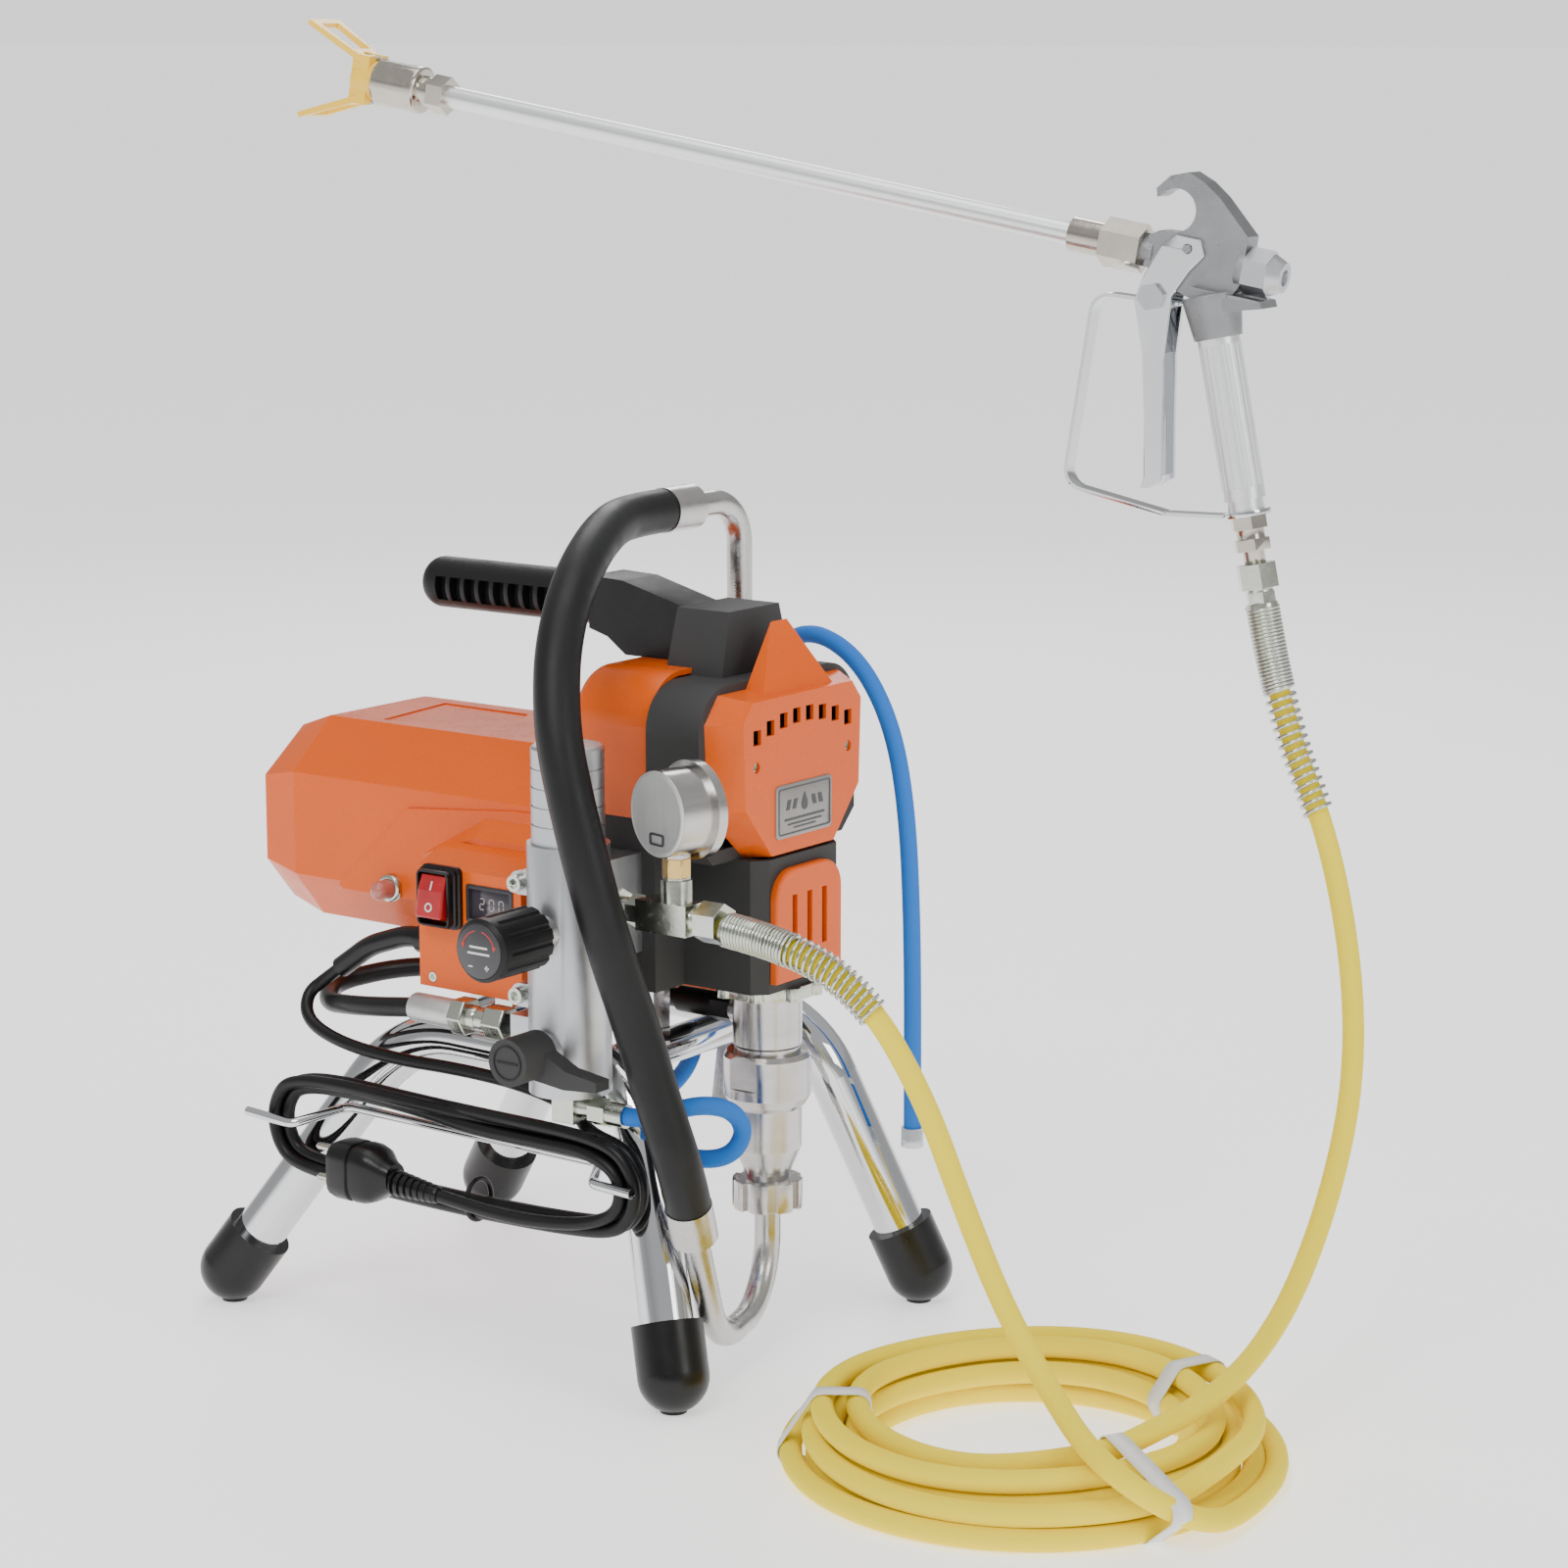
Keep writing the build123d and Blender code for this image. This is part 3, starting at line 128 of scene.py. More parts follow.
def surface(name, color, tint=None, rough=(0.3, 0.4), metallic=0.0, cloud=9.0, grain=(400, 0.05), depth=0.0004,
            stretch=(1, 1, 1), coat=0.0, coat_rough=0.05, clear=0.0, ior=1.5, specular=0.5, scuffs=0.0):
    """Procedural finish: clouded colour, uneven gloss, fine relief and scattered scuffs.

    cloud is the scale of the colour's clouds, grain the relief's scale and strength, clear how much light
    passes through. rough is the gloss's range, and stretch makes the pattern run along one axis.
    """
    mat = bpy.data.materials.get(name)
    if mat:
        return mat
    mat = bpy.data.materials.new(name)
    mat.use_nodes = True
    nodes, links = mat.node_tree.nodes, mat.node_tree.links
    shader = nodes["Principled BSDF"]
    coords = nodes.new("ShaderNodeTexCoord")
    mapping = nodes.new("ShaderNodeMapping")
    mapping.inputs["Scale"].default_value = stretch
    links.new(coords.outputs["Object"], mapping.inputs["Vector"])

    def noise(scale, detail=4.0, rough_level=0.55):
        node = nodes.new("ShaderNodeTexNoise")
        node.inputs["Scale"].default_value = scale
        node.inputs["Detail"].default_value = detail
        node.inputs["Roughness"].default_value = rough_level
        links.new(mapping.outputs[0], node.inputs["Vector"])
        return node.outputs["Fac"]

    def remap(value, low, high, start=0.3, end=0.7):
        node = nodes.new("ShaderNodeMapRange")
        node.inputs["From Min"].default_value = start
        node.inputs["From Max"].default_value = end
        node.inputs["To Min"].default_value = low
        node.inputs["To Max"].default_value = high
        links.new(value, node.inputs["Value"])
        return node.outputs[0]

    def mixed(factor, first, second):
        node = nodes.new("ShaderNodeMix")
        node.data_type = "RGBA"
        links.new(factor, node.inputs["Factor"])
        for socket, value in (("A", first), ("B", second)):
            target = [s for s in node.inputs if s.name == socket and s.type == "RGBA"][0]
            if isinstance(value, tuple):
                target.default_value = (*value, 1)
            else:
                links.new(value, target)
        return [s for s in node.outputs if s.type == "RGBA"][0]

    tint = tint or tuple(c * 0.86 for c in color)
    clouded = mixed(remap(noise(cloud), 0, 1), color, tint)
    gloss = remap(noise(cloud * 5), rough[0], rough[1])
    if scuffs:
        marks = remap(noise(cloud * 14, 8.0, 0.7), 0, scuffs, 0.62, 0.72)
        clouded = mixed(marks, clouded, tuple(min(1.0, c * 1.5 + 0.06) for c in color))
    links.new(clouded, shader.inputs["Base Color"])
    links.new(gloss, shader.inputs["Roughness"])
    bump = nodes.new("ShaderNodeBump")
    bump.inputs["Strength"].default_value = grain[1]
    bump.inputs["Distance"].default_value = depth
    links.new(noise(grain[0], 3.0), bump.inputs["Height"])
    links.new(bump.outputs[0], shader.inputs["Normal"])
    shader.inputs["Metallic"].default_value = metallic
    shader.inputs["Coat Weight"].default_value = coat
    shader.inputs["Coat Roughness"].default_value = coat_rough
    shader.inputs["Transmission Weight"].default_value = clear
    shader.inputs["IOR"].default_value = ior
    shader.inputs["Specular IOR Level"].default_value = specular
    return mat


def orange():
    return surface("orange_plastic", (0.8, 0.112, 0.0005), (0.74, 0.098, 0.0004), rough=(0.24, 0.34),
                   grain=(900, 0.06), coat=0.08, coat_rough=0.12, specular=0.25)


def black_plastic():
    return surface("black_plastic", (0.0035, 0.0035, 0.004), (0.006, 0.006, 0.0065), rough=(0.3, 0.42),
                   grain=(1500, 0.2), scuffs=0.05, specular=0.3)


def handle_plastic():
    return surface("handle_plastic", (0.004, 0.004, 0.0045), (0.007, 0.007, 0.0075), rough=(0.4, 0.52),
                   grain=(1300, 0.3), scuffs=0.05, specular=0.3)


def rubber():
    return surface("black_rubber", (0.003, 0.003, 0.0035), (0.006, 0.006, 0.006), rough=(0.26, 0.38),
                   grain=(600, 0.1), specular=0.35)


def hose_rubber():
    return surface("suction_rubber", (0.005, 0.005, 0.006), (0.009, 0.009, 0.01), rough=(0.4, 0.52),
                   grain=(1100, 0.25), scuffs=0.06, specular=0.3)


def cord_rubber():
    return surface("cord_rubber", (0.004, 0.004, 0.0045), (0.008, 0.008, 0.0085), rough=(0.33, 0.46),
                   grain=(900, 0.12), specular=0.3)


def chrome():
    return surface("chrome", (0.72, 0.73, 0.75), (0.66, 0.67, 0.69), rough=(0.04, 0.1), metallic=1, grain=(60, 0.02))


def turned_steel():
    return surface("turned_steel", (0.58, 0.56, 0.54), (0.5, 0.48, 0.47), rough=(0.12, 0.24), metallic=1, cloud=12,
                   grain=(900, 0.12), stretch=(1, 1, 9))


def steel_tube():
    return surface("steel_tube", (0.55, 0.54, 0.52), (0.47, 0.46, 0.45), rough=(0.2, 0.34), metallic=1, cloud=16,
                   grain=(700, 0.2), scuffs=0.2)


def zinc():
    return surface("zinc_plate", (0.6, 0.62, 0.57), (0.52, 0.55, 0.46), rough=(0.16, 0.3), metallic=1, cloud=30,
                   grain=(900, 0.15), scuffs=0.15)


def nickel():
    return surface("nickel_plate", (0.58, 0.54, 0.48), (0.48, 0.44, 0.38), rough=(0.12, 0.25), metallic=1, cloud=25,
                   grain=(700, 0.1))


def cast_alloy():
    return surface("satin_alloy", (0.56, 0.57, 0.59), (0.5, 0.51, 0.53), rough=(0.3, 0.42), metallic=0.95, cloud=10,
                   grain=(1400, 0.3))


def gun_alloy():
    return surface("gun_alloy", (0.3, 0.31, 0.32), (0.24, 0.25, 0.26), rough=(0.26, 0.42), metallic=0.9, cloud=30,
                   grain=(1500, 0.7), depth=0.0005)


def anodised():
    return surface("anodised", (0.68, 0.69, 0.71), (0.61, 0.62, 0.65), rough=(0.2, 0.3), metallic=0.85, cloud=8,
                   grain=(900, 0.08))


def brushed_steel():
    return surface("brushed_steel", (0.66, 0.66, 0.65), (0.58, 0.58, 0.57), rough=(0.36, 0.5), metallic=0.8, cloud=20,
                   grain=(1200, 0.2), stretch=(1, 6, 1))


def brass():
    return surface("brass", (0.72, 0.5, 0.18), (0.6, 0.4, 0.14), rough=(0.18, 0.32), metallic=1, cloud=40,
                   grain=(700, 0.15))


def iron():
    return surface("oiled_iron", (0.2, 0.2, 0.21), (0.13, 0.13, 0.14), rough=(0.25, 0.45), metallic=1, cloud=30,
                   grain=(800, 0.3))


def windings():
    return surface("windings", (0.33, 0.13, 0.05), (0.2, 0.18, 0.17), rough=(0.35, 0.5), metallic=0.6, cloud=60,
                   grain=(1200, 0.5), stretch=(1, 6, 1))


def mesh_screen():
    return surface("wire_screen", (0.45, 0.45, 0.46), (0.25, 0.25, 0.26), rough=(0.3, 0.5), metallic=1, cloud=300,
                   grain=(2200, 0.8), depth=0.0008)


def blue_tube():
    return surface("blue_tube", (0.0, 0.02, 0.24), (0.0, 0.016, 0.19), rough=(0.18, 0.3), grain=(500, 0.05),
                   coat=0.1, specular=0.35)


def yellow_hose():
    return surface("yellow_hose", (0.58, 0.335, 0.0), (0.52, 0.3, 0.0), rough=(0.2, 0.3), grain=(260, 0.08),
                   coat=0.06, coat_rough=0.1, specular=0.25)


def yellow_plastic():
    return surface("yellow_plastic", (0.9, 0.33, 0.004), (0.85, 0.3, 0.003), rough=(0.25, 0.35), grain=(900, 0.1),
                   specular=0.35)


def white_plastic():
    return surface("white_plastic", (0.8, 0.8, 0.79), (0.72, 0.72, 0.71), rough=(0.35, 0.5), grain=(900, 0.15))


def red_cap():
    return surface("red_cap", (0.5, 0.008, 0.012), (0.36, 0.004, 0.008), rough=(0.1, 0.18), cloud=60, grain=(500, 0.05),
                   coat=0.5)


def lamp_cap():
    return surface("lamp_cap", (0.8, 0.3, 0.24), (0.7, 0.2, 0.15), rough=(0.08, 0.15), cloud=80, grain=(700, 0.2),
                   clear=0.4)


def clear_glass():
    return surface("clear_glass", (0.95, 0.97, 0.97), (0.92, 0.95, 0.95), rough=(0.02, 0.05), grain=(60, 0.01),
                   clear=0.95, ior=1.45)


def clear_tube():
    return surface("clear_sleeve", (0.85, 0.88, 0.9), (0.8, 0.84, 0.87), rough=(0.15, 0.25), grain=(300, 0.1),
                   clear=0.6, ior=1.4)


def smoked_glass():
    return surface("smoked_glass", (0.055, 0.045, 0.06), (0.035, 0.03, 0.04), rough=(0.06, 0.12), grain=(200, 0.03),
                   coat=0.4)


def dark_label():
    return surface("dark_label", (0.03, 0.03, 0.034), (0.045, 0.045, 0.05), rough=(0.3, 0.42), grain=(900, 0.1))


def silver_label():
    return surface("silver_label", (0.33, 0.31, 0.3), (0.26, 0.25, 0.24), rough=(0.25, 0.4), metallic=0.4,
                   grain=(900, 0.1))


def dial_white():
    return surface("dial_white", (0.85, 0.85, 0.84), (0.8, 0.8, 0.79), rough=(0.4, 0.5), grain=(700, 0.05))


def red_mark():
    return surface("red_mark", (0.65, 0.03, 0.02), (0.55, 0.02, 0.015), rough=(0.4, 0.5), grain=(700, 0.05))


FINISHES = {
    "stand_tubes": chrome, "cross_rails": chrome, "rubber_feet": rubber, "cord_hook": chrome, "fasteners": zinc,
    "motor_cover": orange, "motor_stator": windings, "motor_rotor": iron, "bearings": turned_steel,
    "gear_housing": orange, "drive_frame": black_plastic, "reduction_gear": iron, "crankshaft": iron,
    "connecting_rod": iron, "front_cover": orange, "lower_housing": black_plastic, "lower_door": orange,
    "carry_handle": handle_plastic, "piston_rod": turned_steel, "pump_internals": turned_steel, "clamp_ring": zinc,
    "pump_cylinder": turned_steel, "foot_valve_housing": turned_steel, "inlet_nut": turned_steel,
    "suction_u_tube": steel_tube, "pickup_tube": steel_tube, "inlet_strainer": mesh_screen,
    "pressure_hose": cord_rubber, "manifold_body": cast_alloy, "filter_cap": cast_alloy,
    "filter_element": mesh_screen, "pressure_knob": handle_plastic, "prime_handle": black_plastic,
    "drain_elbow": zinc, "outlet_tee": zinc, "gauge_case": turned_steel, "gauge_needle": black_plastic,
    "hose_fittings": zinc, "control_box": orange, "power_rocker": red_cap, "reset_button": lamp_cap,
    "strain_relief": rubber, "power_plug": rubber, "gun_body": gun_alloy, "gun_rear_nut": cast_alloy,
    "trigger": chrome, "trigger_lock": cast_alloy, "trigger_guard": chrome, "gun_grip": anodised,
    "gun_swivel": nickel, "extension_pole": anodised, "pole_fittings": nickel, "tip_guard": yellow_plastic,
    "spray_tip": turned_steel,
}
# Width in millimetres of the soft edge on each moulded or cast node.
SOFT_EDGES = {
    "motor_cover": 0.9, "gear_housing": 1.2, "drive_frame": 1.0, "front_cover": 0.9, "lower_housing": 0.8,
    "lower_door": 0.4, "carry_handle": 0.8, "control_box": 1.0, "prime_handle": 0.8, "power_plug": 0.8,
    "gun_body": 1.6, "trigger": 0.7, "tip_guard": 0.5, "drain_elbow": 0.5, "outlet_tee": 0.5,
    "pole_fittings": 0.3, "hose_fittings": 0.3, "gun_swivel": 0.3, "gun_rear_nut": 0.5, "clamp_ring": 0.4,
    "inlet_nut": 0.4, "manifold_body": 0.5, "cross_rails": 0.4, "power_rocker": 1.0, "trigger_guard": 0.3,
}
WELD_GAP = mm(0.02)
EDGE_ANGLE, SMOOTH_ANGLE, PLATE_ANGLE = math.radians(28), math.radians(40), math.radians(35)


def finish_nodes():
    """Gives every CAD node its finish, and rounds the sharp edges of moulded and cast ones."""
    for name, finish in FINISHES.items():
        node = NODES[name]
        node.data.materials.clear()
        node.data.materials.append(finish())
        if name in SOFT_EDGES:
            weld = node.modifiers.new("weld", "WELD")
            weld.merge_threshold = WELD_GAP
            bevel = node.modifiers.new("soft_edges", "BEVEL")
            bevel.width, bevel.segments = mm(SOFT_EDGES[name]), 2
            bevel.limit_method, bevel.angle_limit = "ANGLE", EDGE_ANGLE
            bevel.harden_normals = False


# ---------------------------------------------------------------- building blocks

def link(name, mesh, finish, body, smooth=True):
    """Object of a mesh, with its finish, riding on a CAD body."""
    piece = bpy.data.objects.new(name, mesh)
    bpy.context.collection.objects.link(piece)
    mesh.materials.clear()
    mesh.materials.append(finish)
    if smooth and isinstance(mesh, bpy.types.Mesh):
        mesh.shade_smooth()
        mesh.set_sharp_from_angle(angle=SMOOTH_ANGLE)
    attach(piece, body)
    return piece


def curve_piece(name, points, radius, finish, body, cyclic=False, order=3, detail=8):
    """Round bar whose centreline is one NURBS spline on the given control points.

    Its thickness is in the points' own radii, because the curve's bounds grow by those.
    """
    data = bpy.data.curves.new(name, "CURVE")
    data.dimensions = "3D"
    data.bevel_depth, data.bevel_resolution, data.resolution_u, data.use_fill_caps = 1, 6, detail, True
    spline = data.splines.new("NURBS")
    spline.points.add(len(points) - 1)
    for point, place in zip(spline.points, points):
        point.co, point.radius = (*place, 1), radius
    spline.order_u = order
    spline.use_cyclic_u = cyclic
    spline.use_endpoint_u = not cyclic
    piece = bpy.data.objects.new(name, data)
    bpy.context.collection.objects.link(piece)
    data.materials.append(finish)
    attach(piece, body)
    return piece


def centreline(piece):
    """Points along a curve piece's own spline, read from the evaluated curve with no bevel."""
    depth = piece.data.bevel_depth
    piece.data.bevel_depth = 0
    bpy.context.view_layer.update()
    line = bpy.data.meshes.new_from_object(piece.evaluated_get(bpy.context.evaluated_depsgraph_get()))
    points = [piece.matrix_world @ v.co for v in line.vertices]
    bpy.data.meshes.remove(line)
    piece.data.bevel_depth = depth
    return points


def wall(bm, low, high):
    """Quads between two loops of corners."""
    for k in range(len(low)):
        n = (k + 1) % len(low)
        bm.faces.new([low[k], low[n], high[n], high[k]])


def mesh_of(name, bm, outward=True):
    """Mesh of what a bmesh holds, with its faces turned outwards."""
    if outward:
        bmesh.ops.recalc_face_normals(bm, faces=bm.faces)
    mesh = bpy.data.meshes.new(name)
    bm.to_mesh(mesh)
    bm.free()
    return mesh


def hexagon(reach):
    """Corners of a hexagon, given the distance from its middle to a corner in millimetres."""
    return [(mm(reach) * math.cos(math.radians(60 * k)), mm(reach) * math.sin(math.radians(60 * k)))
            for k in range(6)]


def length_of(points):
    return sum((b - a).length for a, b in zip(points, points[1:]))


def point_along(points, distance):
    """Place and direction at a distance along a line of points."""
    for a, b in zip(points, points[1:]):
        step = (b - a).length
        if distance <= step:
            return a.lerp(b, distance / step), (b - a).normalized()
        distance -= step
    return points[-1], (points[-1] - points[-2]).normalized()


HELIX_STEPS = 10


def helix_along(name, points, start, stop, radius, pitch, wire, finish, body):
    """Wire coil wound round a line between two distances, with the radius given at each end."""
    turns = (stop - start) / pitch
    steps = int(turns * HELIX_STEPS)
    side = None
    places = []
    for k in range(steps + 1):
        share = k / steps
        centre, along = point_along(points, start + (stop - start) * share)
        if side is None:
            side = along.orthogonal().normalized()
        side = (side - along * side.dot(along)).normalized()
        other = along.cross(side)
        angle = 2 * math.pi * turns * share
        reach = radius[0] + (radius[1] - radius[0]) * share
        places.append(centre + (side * math.cos(angle) + other * math.sin(angle)) * reach)
    piece = curve_piece(name, places, wire, finish, body, detail=3)
    piece.data.bevel_resolution = 2
    return piece


def lathe(name, profile, centre, axis, finish, body, segments=48):
    """Turned piece: profile is a list of (radius, height along the axis) in millimetres."""
    bm = bmesh.new()
    turn = Vector(axis).to_track_quat("Z", "Y").to_matrix().to_4x4()
    place = Matrix.Translation(centre) @ turn
    rings = []
    for radius, height in profile:
        if radius == 0:
            rings.append([bm.verts.new(place @ Vector((0, 0, mm(height))))])
            continue
        rings.append([bm.verts.new(place @ Vector((mm(radius) * math.cos(a), mm(radius) * math.sin(a), mm(height))))
                      for a in (2 * math.pi * k / segments for k in range(segments))])
    for low, high in zip(rings, rings[1:]):
        for k in range(segments):
            n = (k + 1) % segments
            quad = [low[k % len(low)], low[n % len(low)], high[n % len(high)], high[k % len(high)]]
            corners = list(dict.fromkeys(quad))
            if len(corners) > 2:
                bm.faces.new(corners)
    return link(name, mesh_of(name, bm), finish, body)


def plate(name, outline, thick, place, finish, body, edge=0.0003):
    """Flat piece with softened edges: outline in the place's own x, y, thickness along its z."""
    bm = bmesh.new()
    low = [bm.verts.new(place @ Vector((x, y, 0))) for x, y in outline]
    high = [bm.verts.new(place @ Vector((x, y, thick))) for x, y in outline]
    bm.faces.new(low[::-1])
    bm.faces.new(high)
    wall(bm, low, high)
    piece = link(name, mesh_of(name, bm), finish, body)
    bevel = piece.modifiers.new("edges", "BEVEL")
    bevel.width, bevel.segments, bevel.limit_method = edge, 2, "ANGLE"
    bevel.angle_limit = PLATE_ANGLE
    return piece


def rounded(width, height, corner, steps=6):
    """Outline of a rectangle with round corners, about its middle."""
    points = []
    for k, (sx, sy) in enumerate(((1, 1), (-1, 1), (-1, -1), (1, -1))):
        for i in range(steps + 1):
            a = math.pi / 2 * (k + i / steps)
            points.append((sx * (width / 2 - corner) + corner * math.cos(a),
                           sy * (height / 2 - corner) + corner * math.sin(a)))
    return points


def pose(origin, x_axis, z_axis):
    """Matrix whose own x and z lie along the given axes."""
    z = Vector(z_axis).normalized()
    x = Vector(x_axis)
    x = (x - z * x.dot(z)).normalized()
    turn = Matrix((x, z.cross(x), z)).transposed().to_4x4()
    return Matrix.Translation(origin) @ turn


# ---------------------------------------------------------------- cords

GUN_AT = (185.8, -270.2, 665.7)
GUN_FORWARD, GUN_UP = (-0.1369, 0.9754, 0.1729), (0.0240, -0.1712, 0.9849)
GRIP_TOP, GRIP_BOTTOM = (-78.0, -42.0), (-113.0, -132.0)


def gun_frame():
    """The gun's own frame: x forward along the pole, z up, origin at the pole's rear end."""
    return pose(at(*GUN_AT), GUN_FORWARD, GUN_UP)


def on_gun(x, y, z):
    return gun_frame() @ (Vector((x, y, z)) / 1000)


def along_grip(distance):
    """Point on the grip's axis, so far in millimetres below its top."""
    run = Vector((GRIP_BOTTOM[0] - GRIP_TOP[0], GRIP_BOTTOM[1] - GRIP_TOP[1])).normalized()
    return on_gun(GRIP_TOP[0] + run[0] * distance, 0, GRIP_TOP[1] + run[1] * distance)


PAINT_HOSE_R, SUCTION_R, DRAIN_R, CORD_R = mm(6.5), mm(13.5), mm(5.5), mm(4.0)
COIL_AT = (-78, -388)
COIL_STEPS = 16
COIL_START = math.radians(-90)
# Each layer of turns: how many, radius from and to, and height.
COIL_LAYERS = [(4.0, 144.0, 92.0, 7.0), (3.0, 92.0, 131.0, 20.0), (1.9, 131.0, 93.0, 33.0)]
# Spring guards and wound sleeves on the hose, in millimetres: from and to along it (below zero counts back
# from the gun's end), radius at each, pitch and wire.
GUARDS = [
    ("guard_spring_machine", 42, 106, 9.4, 9.0, 4.2, 1.15),
    ("guard_spring_gun", -130, -50, 9.0, 9.4, 5.4, 1.15),
    ("guard_wound_machine", 1, 44, 9.8, 9.6, 2.2, 1.1),
    ("guard_wound_gun", -52, -1, 9.6, 9.8, 2.2, 1.1),
]
TIE_ANGLES = (124, -24, -117)
TIE_HALF_WIDTH, TIE_THICKNESS = mm(6), mm(0.7)
COIL_TOP = mm(62)


def coil_turns():
    """The hose's turns: outwards in on the floor, back out above, and in again on top."""
    angle = COIL_START
    points = []
    for turns, start, stop, height in COIL_LAYERS:
        steps = round(turns * COIL_STEPS)
        for k in range(steps):
            share = k / steps
            radius = start + (stop - start) * share
            radius += 2.2 * math.sin(2 * angle + 0.7) + 1.3 * math.sin(1.37 * angle)
            if height < 10 and k < COIL_STEPS:
                radius += 9 * math.exp(-((k - 5) / 3.0) ** 2)
            lift = height + (0 if height < 10 else 1.5 * math.sin(3 * angle + height))
            points.append((COIL_AT[0] + radius * math.cos(angle), COIL_AT[1] + radius * math.sin(angle), lift))
            angle += 2 * math.pi / COIL_STEPS
    return points


def paint_hose():
    """From the outlet tee down to the floor, round the coil, and up to the gun's swivel."""
    lead = [(-128, -216, 293.4), (-128, -262, 290), (-122, -308, 266), (-116, -342, 214), (-114, -367, 156),
            (-117, -396, 104), (-130, -436, 66), (-150, -470, 50), (-164, -500, 43), (-154, -524, 28),
            (-122, -534, 12)]
    rise = [(-126, -468, 38), (-98, -482, 46), (-50, -488, 50), (20, -478, 54), (80, -470, 76), (128, -466, 124),
            (163, -460, 182), (187, -444, 244), (203, -417, 318)]
    points = [at(*p) for p in lead + coil_turns() + rise] + [along_grip(226), along_grip(161)]
    hose = curve_piece("paint_hose_line", points, PAINT_HOSE_R, yellow_hose(), "machine")
    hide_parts("paint_hose", "paint_hose_coil")
    line = centreline(hose)
    total = length_of(line)
    for name, start, stop, first, last, pitch, wire in GUARDS:
        base = 0 if start > 0 else total
        helix_along(name, line, base + mm(start), base + mm(stop), (mm(first), mm(last)), mm(pitch),
                                  mm(wire), zinc(), "machine")
    ties = [coil_tie(f"coil_tie_{k}", angle, line) for k, angle in enumerate(TIE_ANGLES)]


def outline_of(points):
    """Convex outline round flat points, anticlockwise."""
    ordered = sorted(set(points))

    def half(run):
        chain = []
        for p in run:
            while len(chain) > 1:
                (ax, ay), (bx, by) = chain[-2:]
                if (bx - ax) * (p[1] - ay) - (by - ay) * (p[0] - ax) > 0:
                    break
                chain.pop()
            chain.append(p)
        return chain[:-1]

    return half(ordered) + half(ordered[::-1])


def coil_tie(name, angle, line):
    """White strap pulled tight round the turns that cross one radial plane."""
    a = math.radians(angle)
    outward, across = Vector((math.cos(a), math.sin(a), 0)), Vector((-math.sin(a), math.cos(a), 0))
    middle = at(COIL_AT[0], COIL_AT[1], 0)
    reach = PAINT_HOSE_R + mm(0.9)
    rim = []
    for p, q in zip(line, line[1:]):
        before, after = (p - middle).dot(across), (q - middle).dot(across)
        cut = p.lerp(q, before / (before - after)) if before * after < 0 else None
        if cut and (cut - middle).dot(outward) > 0 and cut.z < COIL_TOP:
            for k in range(16):
                t = 2 * math.pi * k / 16
                height = max(cut.z + reach * math.sin(t), mm(0.8))
                rim.append(((cut - middle).dot(outward) + reach * math.cos(t), height))
    section = [middle + outward * r + Vector((0, 0, z)) for r, z in outline_of(rim)]
    bm = bmesh.new()
    near = [bm.verts.new(p - across * TIE_HALF_WIDTH) for p in section]
    far = [bm.verts.new(p + across * TIE_HALF_WIDTH) for p in section]
    wall(bm, near, far)
    piece = link(name, mesh_of(name, bm, outward=False), white_plastic(), "machine")
    thick = piece.modifiers.new("thickness", "SOLIDIFY")
    thick.thickness, thick.offset = TIE_THICKNESS, 0
    return piece


def suction_hose():
    """From the inlet tube's end up in front of the machine and over to the elbow."""
    route = [(-126, -185.7, 126.3), (-135.5, -188.4, 148), (-139, -175, 187), (-144, -164, 230),
             (-156, -155, 275), (-161, -143, 321), (-161, -131, 360), (-158, -120, 392),
             (-151, -112, 418), (-138, -103, 444), (-116, -93, 469), (-80, -77, 488),
             (-36, -58, 500), (-2, -47, 503), (31.5, -47, 503)]
    hose = curve_piece("suction_hose_line", [at(*p) for p in route], SUCTION_R, hose_rubber(), "machine")
    hose.data.bevel_resolution = 10
    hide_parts("suction_hose")
    round(length_of(centreline(hose)), 2)


def drain_tube():
    """From the drain elbow through a small loop, behind the pump and down the far side to its open end."""
    route = [(-128, -143.3, 172.5), (-128, -155, 173), (-112, -164, 176), (-90, -171, 176), (-68, -175, 168),
             (-56, -175, 152), (-64, -169, 137), (-78, -150, 136), (-60, -105, 137), (0, -62, 140), (62, -40, 142),
             (112, -10, 148), (132, -2, 196), (131, -8, 262), (129, -24, 330), (128, -46, 384),
             (122, -76, 417), (111, -110, 424), (106.5, -144, 408), (105.5, -168, 370), (105, -179, 318),
             (105, -183, 250), (105, -184, 180), (104.5, -184.5, 112)]
    tube = curve_piece("drain_tube_line", [at(*p) for p in route], DRAIN_R, blue_tube(), "machine")
    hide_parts("drain_tube")
    line = centreline(tube)
    total = length_of(line)
    low, along = point_along(line, total - mm(2))
    sleeve = lathe("drain_sleeve", [(6.9, -6), (7.0, 6), (6.2, 6), (6.1, -6), (6.9, -6)], low, along, clear_tube(),
                   "machine")
    high, along = point_along(line, total - mm(40))
    band = lathe("drain_ring", [(5.6, -2), (6.6, -1.6), (6.6, 1.6), (5.6, 2)], high, along, white_plastic(),
                 "machine")


